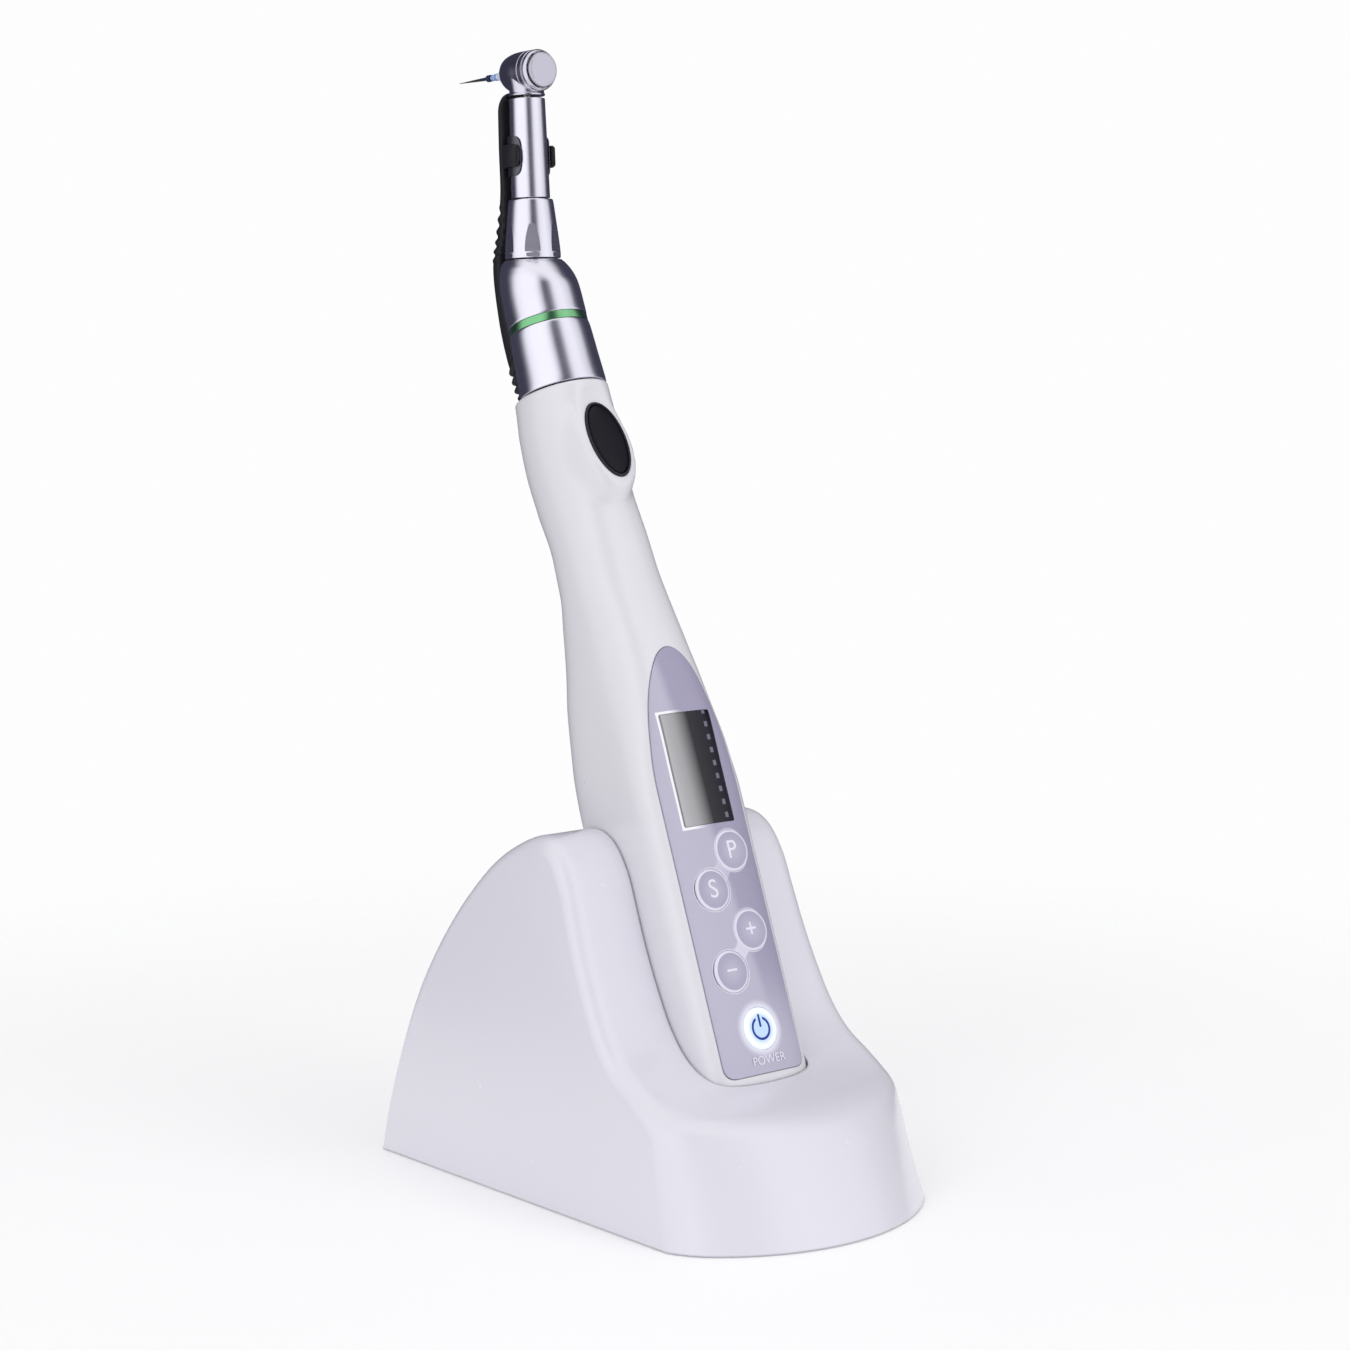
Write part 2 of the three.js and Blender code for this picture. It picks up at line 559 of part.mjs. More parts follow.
// ---------------------------------------------------------------- head
const barrel = facing(turned([
  [2.1, -6.2], [3, -5.9], [3.9, -4.9], [4.45, -3], [4.7, -0.8], [4.7, 2], [4.7, 5.2], [4.4, 5.7], [4.2, 5.7], [4.2, 3.6],
  [3.85, 3.6], [3.85, -3.2], [2.1, -3.2],
], 24));
const flareRings = [[4.15, -5.4], [4.15, -5], [3.9, -4.7], [4, -4], [4.3, -3.2], [4.3, -2.4]].map(([r, z]) =>
  Array.from({ length: 16 }, (_, i) => {
    const angle = (2 * Math.PI * i) / 16;
    return new THREE.Vector3(r * Math.cos(angle), r * Math.sin(angle), z);
  }));
const barrelCore = facing(rod(4.1, -3, 6, 24));
const headHousing = cut(join(barrel, cut(loft(flareRings, plan), barrelCore)), rod(2.3, -9, -2, 20));
add(head, 'head_housing', headHousing, SATIN);
const cap = facing(turned([
  [0, 6.65], [3.3, 6.65], [3.9, 6.2], [3.9, 5], [3.1, 5], [3.1, 5.6], [0, 5.6],
], 24));
add(head, 'push_cap', cap, SATIN);
const capSpring = facing(turned([[3.7, 3.75], [3.75, 3.9], [2.7, 4.3], [2.6, 4.15]], 24));
add(head, 'cap_spring', capSpring, STEEL);

// ---------------------------------------------------------------- gears
// A spur gear outline with tapered teeth, standing on one tooth centred at angle zero.
function toothedPath(path, teeth, root, tip, rootShare, tipShare, turn = 0) {
  const pitch = (2 * Math.PI) / teeth;
  const at = (radius, angle) => [radius * Math.cos(angle + turn), radius * Math.sin(angle + turn)];
  for (let i = 0; i < teeth; i += 1) {
    const centre = i * pitch;
    const corners = [
      at(root, centre - (pitch * rootShare) / 2),
      at(tip, centre - (pitch * tipShare) / 2),
      at(tip, centre + (pitch * tipShare) / 2),
      at(root, centre + (pitch * rootShare) / 2),
    ];
    corners.forEach(([x, y], k) => (i + k === 0 ? path.moveTo(x, y) : path.lineTo(x, y)));
  }
  path.closePath();
  return path;
}

function spur(teeth, length, bore, turn = 0) {
  const radius = (teeth * MODULE) / 2;
  const shape = toothedPath(new THREE.Shape(), teeth, radius - 0.44, radius + 0.26, 0.56, 0.2, turn);
  if (bore > 0) shape.holes.push(new THREE.Path().absarc(0, 0, bore, 0, 2 * Math.PI));
  return new THREE.ExtrudeGeometry(shape, { depth: length, bevelEnabled: false, curveSegments: 5 });
}

// A ring of raised teeth on a flat face, for gears that mesh end to end.
function faceTeeth(teeth, inner, outer, z, height, width, turn = 0) {
  const pieces = [];
  for (let i = 0; i < teeth; i += 1) {
    const tooth = box(inner, outer, -width / 2, width / 2, z - 0.3, z + height);
    pieces.push(tooth.rotateZ((2 * Math.PI * i) / teeth + turn));
  }
  return pieces;
}

const ORBIT = (MODULE * (SUN_TEETH + PLANET_TEETH)) / 2;
const RING_PITCH = (MODULE * RING_TEETH) / 2;
const GEAR_LOW = 181.6;
const GEAR_LENGTH = 3.6;

const internal = new THREE.Shape().absarc(0, 0, 7.15, 0, 2 * Math.PI);
internal.holes.push(toothedPath(new THREE.Path(), RING_TEETH, RING_PITCH + 0.44, RING_PITCH - 0.26, 0.56, 0.2));
const ringGear = new THREE.ExtrudeGeometry(internal, { depth: GEAR_LENGTH, bevelEnabled: false, curveSegments: 12 });
add(contraAngle, 'ring_gear', moved(ringGear, 0, 0, GEAR_LOW), STEEL);

const inputStem = turned([
  [0, 166.4], [0.8, 166.4], [0.8, 168.4], [2.2, 168.4], [2.2, 170.4], [1.2, 170.4], [1.2, 181.9], [0, 181.9],
], 20);
const tongue = box(-2.1, 2.1, -0.65, 0.65, 166.4, 168.8);
const sunGear = moved(spur(SUN_TEETH, GEAR_LENGTH, 0), 0, 0, GEAR_LOW);
add(contraAngle, 'input_shaft', join(inputStem, tongue, sunGear), STEEL);

for (let k = 0; k < 3; k += 1) {
  const angle = (2 * Math.PI * k) / 3;
  const planet = spur(PLANET_TEETH, GEAR_LENGTH - 0.4, 0.95, angle + Math.PI / PLANET_TEETH);
  const place = [ORBIT * Math.cos(angle), ORBIT * Math.sin(angle), GEAR_LOW + 0.2];
  add(contraAngle, `planet_gear_${k + 1}`, moved(planet, ...place), STEEL);
}

const PITCH_FACE = 3.1 * Math.tan(BEND_ANGLE / 2); // half the spacing of the two bevel gears on their axes
const carrierDisc = turned([
  [0, 185.6], [5.4, 185.6], [5.4, 187], [1.5, 187], [1.5, 191.5], [3.4, 192.4], [3.4, BEND - PITCH_FACE - 0.35],
  [0, BEND - PITCH_FACE - 0.35],
], 20);
const pins = [0, 1, 2].map((k) => {
  const angle = (2 * Math.PI * k) / 3;
  return moved(rod(0.65, GEAR_LOW, 186, 10), ORBIT * Math.cos(angle), ORBIT * Math.sin(angle), 0);
});
const lowerBevel = faceTeeth(BEVEL_TEETH, 2.4, 3.3, BEND - PITCH_FACE - 0.35, 0.55, 0.45, Math.PI / 2);
add(contraAngle, 'planet_carrier', join(carrierDisc, ...pins, ...lowerBevel), STEEL);

const neckStem = turned([
  [0, PITCH_FACE + 0.35], [3.4, PITCH_FACE + 0.35], [3.4, 1.8], [1, 2.6], [1, HEAD - 3.3], [0, HEAD - 3.3],
], 20);
const upperBevel = faceTeeth(BEVEL_TEETH, 2.4, 3.3, 0, 0.3, 0.45, Math.PI / 2 + Math.PI / BEVEL_TEETH)
  .map((tooth) => tooth.translate(0, 0, PITCH_FACE + 0.15));
const pinion = moved(spur(PINION_TEETH, 1.2, 0), 0, 0, HEAD - 3.4);
add(neck, 'neck_shaft', join(neckStem, ...upperBevel, pinion), STEEL);

const CROWN_FACE = (PINION_TEETH * MODULE) / 2 + 0.4;
const spindle = turned([
  [1.25, -7.1], [1.75, -7.1], [1.75, -CROWN_FACE - 1], [3.5, -CROWN_FACE - 1], [3.5, -CROWN_FACE], [1.75, -CROWN_FACE],
  [1.75, 3.1], [1.25, 3.1],
], 20);
const crownTeeth = faceTeeth(CROWN_TEETH, 2.2, 3.5, -CROWN_FACE, 0.6, 0.3, Math.PI / 2 + Math.PI / CROWN_TEETH);
add(head, 'chuck_spindle', facing(join(spindle, ...crownTeeth)), STEEL);

// ---------------------------------------------------------------- file
const fileBody = facing(turned([
  [0, -25.5], [0.12, -25.1], [0.42, -13], [0.58, -12.7], [0.72, -10.4], [0.95, -9.6], [1.4, -8.8], [1.8, -7.6],
  [1.5, -7.3], [1.15, -7.3], [1.15, 1.5], [0, 1.5],
], 20));
add(head, 'file', fileBody, TOOL);
add(head, 'file_stop', facing(ring(1.1, 0.75, -14.4, -13, 18)), CELL);

// ---------------------------------------------------------------- electrode arm
// Depth and height of a point beside the neck: along the neck, then behind its axis.
const besideNeck = (along, behind) => [
  behind * Math.cos(BEND_ANGLE) - along * Math.sin(BEND_ANGLE),
  BEND + along * Math.cos(BEND_ANGLE) + behind * Math.sin(BEND_ANGLE),
];
const armOutline = [
  besideNeck(37.6, 5.1), besideNeck(38.4, 6), besideNeck(37.4, 7), besideNeck(15, 7.3), besideNeck(6, 9.4),
  [11.8, 193], [13.5, 185], [13.9, 177], [13.3, 170], [12.3, 164],
  [10.6, 164], [10.4, 172], [9.7, 182], [9.6, 189],
  besideNeck(0.5, 8), besideNeck(6, 6.4), besideNeck(14, 5.4), besideNeck(34, 5.1),
];
const clipArc = new THREE.Shape();
const tabEnd = THREE.MathUtils.degToRad(28);
clipArc.absarc(0, 0, 6.2, -tabEnd, Math.PI + tabEnd, false);
clipArc.absarc(0, 0, 5.15, Math.PI + tabEnd, -tabEnd, true);
const clip = new THREE.ExtrudeGeometry(clipArc, { depth: 5, bevelEnabled: false, curveSegments: 14 })
  .translate(0, 0, 21)
  .rotateX(BEND_ANGLE)
  .translate(0, 0, BEND);
add(contraAngle, 'electrode_arm', join(widened(armOutline, 7), clip), BLACK);
const bandArc = new THREE.Shape();
bandArc.absarc(0, 0, 4.85, -tabEnd, Math.PI + tabEnd, false);
bandArc.absarc(0, 0, 4.6, Math.PI + tabEnd, -tabEnd, true);
const band = new THREE.ExtrudeGeometry(bandArc, { depth: 9, bevelEnabled: false, curveSegments: 14 });
add(neck, 'clip_spring', moved(band, 0, 0, 19), STEEL);

export default endodonticMotor;
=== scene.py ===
import json
import math

import bmesh
import bpy
from mathutils import Matrix, Vector


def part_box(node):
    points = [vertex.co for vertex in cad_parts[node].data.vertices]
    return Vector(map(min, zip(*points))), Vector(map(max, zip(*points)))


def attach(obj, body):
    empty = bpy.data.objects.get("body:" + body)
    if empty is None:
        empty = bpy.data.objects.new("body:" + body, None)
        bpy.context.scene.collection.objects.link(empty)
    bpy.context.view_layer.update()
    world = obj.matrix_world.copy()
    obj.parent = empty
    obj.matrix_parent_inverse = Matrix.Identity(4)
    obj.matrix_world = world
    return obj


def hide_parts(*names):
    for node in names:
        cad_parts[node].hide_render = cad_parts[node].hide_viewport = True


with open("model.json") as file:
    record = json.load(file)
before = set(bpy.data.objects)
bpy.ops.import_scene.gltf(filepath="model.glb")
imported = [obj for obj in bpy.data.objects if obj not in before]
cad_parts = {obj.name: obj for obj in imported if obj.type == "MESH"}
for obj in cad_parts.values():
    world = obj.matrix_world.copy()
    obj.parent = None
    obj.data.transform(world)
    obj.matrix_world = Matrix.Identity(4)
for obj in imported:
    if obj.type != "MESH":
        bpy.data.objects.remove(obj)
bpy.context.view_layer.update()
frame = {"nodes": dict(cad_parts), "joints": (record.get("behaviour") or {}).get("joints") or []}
scene = bpy.context.scene
MM = 0.001


# ---------------------------------------------------------------- viewpoint
# A camera level with the contra-angle, to the left of the control face and well back,
# so that the upright handpiece keeps its proportions.
VIEW_SIDE, VIEW_RISE = math.radians(-40.6), math.radians(7.3)
VIEW_SPOT = (-0.4311, -0.51174, 0.1992)
VIEW_LENS, VIEW_SENSOR, VIEW_FAR = 80.77, 36, 30

camera = bpy.data.objects.new("camera", bpy.data.cameras.new("camera"))
scene.collection.objects.link(camera)
towards_camera = Vector((
    math.sin(VIEW_SIDE) * math.cos(VIEW_RISE),
    -math.cos(VIEW_SIDE) * math.cos(VIEW_RISE),
    math.sin(VIEW_RISE),
))
camera.location = VIEW_SPOT
camera.rotation_mode = "QUATERNION"
camera.rotation_quaternion = (-towards_camera).to_track_quat("-Z", "Y")
camera.data.lens = VIEW_LENS
camera.data.sensor_width = VIEW_SENSOR
camera.data.clip_end = VIEW_FAR
scene.camera = camera
scene.view_settings.view_transform = "Standard"


# ---------------------------------------------------------------- table and studio
# A wide pale table top, lit by a bright tent with soft boxes standing round the object.
# Polished and satin metal needs the darker gaps between the boxes to show its form.
class Field:
    """A value that varies over a surface. Arithmetic on fields adds the Math nodes that do it."""

    def __init__(self, socket):
        self.socket = socket

    def node(self, kind, settings=None, sockets=None, output=0):
        made = self.socket.id_data.nodes.new(kind)
        for name, value in (settings or {}).items():
            if name == "stops":
                while len(made.color_ramp.elements) < len(value):
                    made.color_ramp.elements.new(1.0)
                for element, (place, colour) in zip(made.color_ramp.elements, value):
                    element.position = place
                    element.color = (*colour, 1)
            else:
                setattr(made, name, value)
        for name, value in (sockets or {}).items():
            if isinstance(value, Field):
                made.id_data.links.new(value.socket, made.inputs[name])
            else:
                made.inputs[name].default_value = value
        return Field(made.outputs[output])

    def math(self, operation, *values):
        return self.node("ShaderNodeMath", {"operation": operation}, dict(enumerate(values)))

    def __add__(self, other):
        return self.math("ADD", self, other)

    def __radd__(self, other):
        return self.math("ADD", other, self)

    def __sub__(self, other):
        return self.math("SUBTRACT", self, other)

    def __rsub__(self, other):
        return self.math("SUBTRACT", other, self)

    def __mul__(self, other):
        return self.math("MULTIPLY", self, other)

    def __rmul__(self, other):
        return self.math("MULTIPLY", other, self)

    def __truediv__(self, other):
        return self.math("DIVIDE", self, other)

    def __abs__(self):
        return self.math("ABSOLUTE", self)

    def root(self):
        return self.math("SQRT", self)

    def fraction(self):
        return self.math("FRACT", self)


def rising(value, low, high):
    """0 below low and 1 above high, easing between them. It falls where low is above high."""
    return value.node("ShaderNodeMapRange", {"interpolation_type": "SMOOTHSTEP"}, {
        "Value": value, "From Min": low, "From Max": high})


def between(share, first, second):
    """A colour part of the way from the first to the second."""
    colours = [c if isinstance(c, Field) else (*c, 1) for c in (first, second)]
    return share.node("ShaderNodeMix", {"data_type": "RGBA"}, {0: share, 6: colours[0], 7: colours[1]}, 2)


def mottle(place, scale, detail=2.0, stretch=(1, 1, 1)):
    """Soft random variation from 0 to 1, with that many lumps to the metre."""
    spot = place.node("ShaderNodeVectorMath", {"operation": "MULTIPLY"}, {0: place, 1: stretch})
    return place.node("ShaderNodeTexNoise", {}, {"Vector": spot, "Scale": scale, "Detail": detail})


def parts_of(place):
    """The X, Y and Z of a place, in millimetres."""
    return [place.node("ShaderNodeSeparateXYZ", {}, {0: place}, axis) * 1000 for axis in range(3)]


def finish(name, sockets, vary):
    """A material: constants go straight on the shader, and vary gives what changes over the surface."""
    material = bpy.data.materials.new(name)
    material.use_nodes = True
    tree = material.node_tree
    shader = tree.nodes["Principled BSDF"]
    for key, value in sockets.items():
        shader.inputs[key].default_value = value
    place = Field(tree.nodes.new("ShaderNodeTexCoord").outputs["Object"])
    for key, value in vary(place).items():
        tree.links.new(value.socket, shader.inputs[key])
    return material


def relief(height, distance, edge=0.0):
    """The shading normal of a fine relief. An edge radius also rounds the corners of the piece."""
    sockets = {"Height": height, "Distance": distance}
    if edge:
        sockets["Normal"] = height.node("ShaderNodeBevel", {"samples": 6}, {"Radius": edge})
    return height.node("ShaderNodeBump", {}, sockets)


def circle(count):
    """The cosine and sine of evenly spaced angles, once round."""
    return [(math.cos(math.tau * i / count), math.sin(math.tau * i / count)) for i in range(count)]


TABLE_RADIUS, TABLE_SIDES = 6.0, 64
TABLE_CLEAR, TABLE_WHOLE = 420.0, 130.0
table_mesh = bpy.data.meshes.new("table")
table_mesh.from_pydata(
    [(TABLE_RADIUS * c, TABLE_RADIUS * s, 0) for c, s in circle(TABLE_SIDES)], [], [list(range(TABLE_SIDES))])
table = bpy.data.objects.new("table", table_mesh)
scene.collection.objects.link(table)


def table_vary(place):
    """A faint cloud in the paint. The table fades away in a ring round the object."""
    x, y, _ = parts_of(place)
    cloud = mottle(place, 6)
    return {
        "Base Color": between(cloud, (0.95, 0.95, 0.955), (0.965, 0.965, 0.97)),
        "Emission Color": between(cloud, (0.98, 0.98, 0.985), (1.0, 1.0, 1.0)),
        "Alpha": rising((x * x + y * y).root(), TABLE_CLEAR, TABLE_WHOLE),
    }


table_mesh.materials.append(finish("pale table", {"Roughness": 0.7, "Emission Strength": 0.1}, table_vary))

studio = bpy.data.worlds.new("studio")
scene.world = studio
studio.use_nodes = True
sky = studio.node_tree
direction = Field(sky.nodes.new("ShaderNodeTexCoord").outputs["Generated"])
across, ahead, up = (axis * 0.001 for axis in parts_of(direction))
turn = across.math("ARCTAN2", -1.0 * across, -1.0 * ahead) / math.tau + 0.5
# The tent, once round. The camera stands at 0.61 of the turn, with lower numbers to its right.
TENT = [
    (0.0, 0.05), (0.27, 0.05), (0.31, 0.15), (0.345, 0.85), (0.43, 1.2), (0.505, 1.1), (0.53, 0.55),
    (0.552, 0.2), (0.575, 0.12), (0.604, 0.12), (0.63, 0.85), (0.665, 1.28), (0.78, 1.28), (0.835, 1.1),
    (0.875, 0.25), (0.905, 0.05), (1.0, 0.05),
]
tent = direction.node("ShaderNodeValToRGB", {
    "stops": [(spot, (light * 0.975, light * 0.97, light + 0.03)) for spot, light in TENT]}, {0: turn})
dome = between(rising(up, 0.72, 0.97), tent, (1.1, 1.1, 1.13))
rays = sky.nodes.new("ShaderNodeLightPath")
glossy = Field(rays.outputs["Is Glossy Ray"])
plain = between(Field(rays.outputs["Is Camera Ray"]), (0.72, 0.72, 0.725), (0.985, 0.985, 0.99))
seen = between(glossy, plain, dome)
sky.links.new(seen.socket, sky.nodes["Background"].inputs["Color"])


def soft_box(name, spot, size, power):
    """A square lamp aimed at the middle of the object. Polished faces don't mirror it."""
    lamp = bpy.data.objects.new(name, bpy.data.lights.new(name, "AREA"))
    lamp.data.shape = "RECTANGLE"
    lamp.data.size, lamp.data.size_y = size
    lamp.data.energy = power
    lamp.location = spot
    lamp.rotation_mode = "QUATERNION"
    lamp.rotation_quaternion = (Vector((0, 0, 0.12)) - Vector(spot)).to_track_quat("-Z", "Y")
    lamp.visible_glossy = False
    scene.collection.objects.link(lamp)


soft_box("left_box", (-1.5, -0.55, 0.9), (0.9, 1.4), 5)
soft_box("front_box", (0.3, -1.6, 0.7), (0.8, 1.4), 5)
soft_box("top_box", (0.0, 0.1, 1.9), (1.6, 1.6), 4)


# ---------------------------------------------------------------- charging base, shell
# One moulded cover: a high back, a ridge, a hollowed slope and a low bowed front shelf.
# A cradle with the handpiece's own outline is sunk into it, leaning back. Sizes are in millimetres.
BASE_HALF, BASE_TAPER, BASE_RIM = 36.5, 0.055, 0.3
BASE_ROUND, BASE_ROUND_DEPTH = 5.0, 3.2
FRONT_RADIUS, FRONT_BULGE, BULGE_START, BULGE_FULL = 46.0, 6.0, 32, 60
BASE_WALL, BASE_DEPTH = 2.6, 58.0
BASE_LINE = [
    (56.2, BASE_RIM), (55.1, 6), (53.8, 12), (50.8, 22), (47, 32.6), (42, 43.2), (35.3, 53.7), (27, 64),
    (17.5, 73), (9.5, 77.9), (3, 80.3), (-2, 80.1), (-6.2, 77.6), (-10.3, 71.7), (-13.2, 64.2),
    (-16.5, 55.7), (-20.5, 47.2), (-24.8, 39.7), (-29.8, 34.2), (-36.5, 30.4), (-44.5, 27.5),
    (-49.6, 25.8), (-52.5, 24.1), (-54.2, 21.5), (-57, 14.3), (-59.8, 7), (-62.4, BASE_RIM),
]


def through(points, steps):
    """A smooth open curve through points, as a list of points."""
    points = [Vector(p) for p in points]
    ends = [2 * points[0] - points[1], *points, 2 * points[-1] - points[-2]]
    curve = []
    for a, b, c, d in zip(ends, ends[1:], ends[2:], ends[3:]):
        knots = [0.0]
        for start, end in ((a, b), (b, c), (c, d)):
            knots.append(knots[-1] + max((end - start).length, 1e-6) ** 0.5)
        t0, t1, t2, t3 = knots
        for i in range(steps):
            t = t1 + (t2 - t1) * i / steps
            ab = a.lerp(b, (t - t0) / (t1 - t0))
            bc = b.lerp(c, (t - t1) / (t2 - t1))
            cd = c.lerp(d, (t - t2) / (t3 - t2))
            abc = ab.lerp(bc, (t - t0) / (t2 - t0))
            bcd = bc.lerp(cd, (t - t1) / (t3 - t1))
            curve.append(abc.lerp(bcd, (t - t1) / (t2 - t1)))
    return curve + [points[-1]]


def eased(value, low, high):
    """The same easing as rising, on a number."""
    share = min(max((value - low) / (high - low), 0), 1)
    return share * share * (3 - 2 * share)


def new_piece(name, points, faces, place=Matrix.Identity(4)):
    """A mesh given in millimetres, standing in a frame of its own."""
    mesh = bpy.data.meshes.new(name)
    mesh.from_pydata([Vector(p) * MM for p in points], [], faces)
    form = bmesh.new()
    form.from_mesh(mesh)
    bmesh.ops.remove_doubles(form, verts=form.verts, dist=1e-7)
    bmesh.ops.dissolve_degenerate(form, edges=form.edges, dist=1e-8)
    bmesh.ops.recalc_face_normals(form, faces=form.faces)
    form.to_mesh(mesh)
    form.free()
    piece = bpy.data.objects.new(name, mesh)
    piece.matrix_world = place
    scene.collection.objects.link(piece)
    return piece


def skin(name, rings, place=Matrix.Identity(4), closed=False):
    """A surface through equal rings of points, with flat ends or joined round on itself."""
    count, last = len(rings[0]), len(rings)
    faces = []
    for i in range(last if closed else last - 1):
        here, there = i * count, (i + 1) % last * count
        for j in range(count):
            k = (j + 1) % count
            faces.append((here + j, here + k, there + k, there + j))
    if not closed:
        faces += [list(range(count)), list(range((last - 1) * count, last * count))]
    return new_piece(name, [p for ring in rings for p in ring], faces, place)


def carve(piece, cutter, operation="DIFFERENCE"):
    """Cuts, joins or crosses a piece with another, which is used up."""
    step = piece.modifiers.new("carve", "BOOLEAN")
    step.solver = "MANIFOLD"
    step.operation = operation
    step.object = cutter
    bpy.context.view_layer.update()
    made = bpy.data.meshes.new_from_object(piece.evaluated_get(bpy.context.evaluated_depsgraph_get()))
    piece.modifiers.clear()
    piece.data = made
    bpy.data.objects.remove(cutter)
    return piece


def block(name, x0, x1, y0, y1, z0, z1, place=Matrix.Identity(4)):
    rings = [[(x0, y0, z), (x1, y0, z), (x1, y1, z), (x0, y1, z)] for z in (z0, z1)]
    return skin(name, rings, place)


def settle(piece, body, slot, material, *nodes, crease=32):
    """Smooth shading, finish, the body it rides on and the nodes it stands for. The slot is not used."""
    piece.data.materials.clear()
    piece.data.materials.append(material)
    for face in piece.data.polygons:
        face.use_smooth = True
    piece.data.set_sharp_from_angle(angle=math.radians(crease))
    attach(piece, body)
    if nodes:
        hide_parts(*nodes)
    return piece


def base_form(name):
    """The cover as a solid: its side line swept across, with rounded edges, a taper and a bowed front."""
    line = through(BASE_LINE, 5)
    count = len(line)
    normals = []
    for i in range(count):
        run = line[min(i + 1, count - 1)] - line[max(i - 1, 0)]
        normals.append(Vector((run.y, -run.x)).normalized())
    flat = BASE_HALF - BASE_ROUND
    half = [(flat * i / 14, 0) for i in range(14)]
    for i in range(10):
        a = math.radians(90 * i / 9)
        half.append((BASE_HALF - BASE_ROUND * (1 - math.sin(a)), BASE_ROUND_DEPTH * (1 - math.cos(a))))
    stations = [(-x, r) for x, r in reversed(half[1:])] + half
    rings = []
    for x, drawn in stations:
        bow = FRONT_RADIUS - math.sqrt(FRONT_RADIUS ** 2 - x * x)
        ring = []
        for point, normal in zip(line, normals):
            y = point.x - normal.x * drawn
            z = max(point.y - normal.y * drawn, BASE_RIM)
            ahead = eased(-y, BULGE_START, BULGE_FULL) * (FRONT_BULGE - bow)
            ring.append((x * (1 - BASE_TAPER * z / BASE_HALF), y - ahead, z))
        ring[0] = (ring[0][0], ring[0][1], BASE_RIM)
        ring[-1] = (ring[-1][0], ring[-1][1], BASE_RIM)
        rings.append(ring)
    return skin(name, rings, BASE_PLACE)


joints = {joint["name"]: joint for joint in frame["joints"]}


def axis_frame(joint, back):
    """The frame on a joint's axis: Z along it, Y to the rear, starting so many millimetres back."""
    rise = Vector(joints[joint]["axis"])
    right = Vector((1, 0, 0))
    rear = rise.cross(right)
    start = Vector(joints[joint]["pos_m"]) - back * MM * rise
    return Matrix.Translation(start) @ Matrix((right, rear, rise)).transposed().to_4x4()


# The frames of the motor and the neck stand on their axes, the grip's on its front face, and the
# base's is placed by a front foot.
MOTOR_UP, MOTOR_DEPTH, NECK_UP = 145, 15.2, 20
FRONT_FOOT, FOOT_RADIUS = -48, 5
MOTOR = axis_frame("motor_spin", MOTOR_UP)
NECK = axis_frame("neck_shaft_spin", NECK_UP)
GRIP = MOTOR @ Matrix.Translation((0, -MOTOR_DEPTH * MM, 0))
BASE_PLACE = Matrix.Translation((0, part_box("foot_1")[0].y - (FRONT_FOOT - FOOT_RADIUS) * MM, 0))

# The grip's outline: height, half width, front and back depth, squareness of front and back.
GRIP_SECTIONS = [
    (0, 14.7, 0, 32, 7.5, 3.4), (66, 14.7, 0, 32, 7.5, 3.4), (76, 14.2, 0, 32.3, 5.5, 3.2),
    (84, 13.4, 0, 32, 3.8, 3), (92, 12.7, 0.1, 31.3, 3, 2.8), (101, 12, 1.1, 29.5, 2.6, 2.5),
    (110, 11.3, 2.7, 28, 2.5, 2.3), (118, 10.9, 3.9, 26.4, 2.3, 2.2), (126, 10.7, 4.4, 26.4, 2.2, 2.1),
    (138, 10.4, 5.2, 28.8, 2.1, 2), (147, 10.6, 5, 29.6, 2, 2), (155, 10.8, 4.8, 29, 2, 2),
    (163.5, 10.4, 4.8, 28, 2, 2),
]
GRIP_CROWN = 0.01


def row_at(rows, at):
    """The columns of a table between its rows, on a curve that never overshoots them."""
    k = max([i for i in range(len(rows) - 1) if rows[i][0] <= at] or [0])

    def slope(i, c):
        if i in (0, len(rows) - 1):
            return 0.0
        before = (rows[i][c] - rows[i - 1][c]) / (rows[i][0] - rows[i - 1][0])
        after = (rows[i + 1][c] - rows[i][c]) / (rows[i + 1][0] - rows[i][0])
        return 2 * before * after / (before + after) if before * after > 0 else 0.0

    step = rows[k + 1][0] - rows[k][0]
    t = min(max((at - rows[k][0]) / step, 0), 1)
    return [
        (2 * t ** 3 - 3 * t * t + 1) * rows[k][c] + (t ** 3 - 2 * t * t + t) * step * slope(k, c)
        + (3 * t * t - 2 * t ** 3) * rows[k + 1][c] + (t ** 3 - t * t) * step * slope(k + 1, c)
        for c in range(1, len(rows[0]))
    ]


def grip_ring(height, inset=0.0, level=None, count=112):
    """One closed outline of the grip, its points evenly spaced."""
    half, front, back, front_power, back_power = row_at(GRIP_SECTIONS, height)
    middle, width = (front + back) / 2, half - inset
    crown = GRIP_CROWN * eased(front_power, 2, 7)
    fine = []
    for c, s in circle(720):
        power = 2 / (front_power if s < 0 else back_power)
        x = math.copysign(width * abs(c) ** power, c)
        reach = abs(s) ** power
        if s < 0:
            y = middle - reach * (middle - front - inset - crown * x * x)
        else:
            y = middle + reach * (back - inset - middle)
        fine.append(Vector((x, y, height if level is None else level)))
    fine.append(fine[0])
    run = [0.0]
    for a, b in zip(fine, fine[1:]):
        run.append(run[-1] + (b - a).length)
    ring, k = [], 0
    for i in range(count):
        goal = run[-1] * i / count
        while run[k + 1] < goal:
            k += 1
        ring.append(fine[k].lerp(fine[k + 1], (goal - run[k]) / max(run[k + 1] - run[k], 1e-9)))
    return ring


def cradle_form(name, play, low, high):
    """The grip's foot outline, let out by the play, from one height to another."""
    return skin(name, [grip_ring(0, -play, level) for level in (low, high)], GRIP)


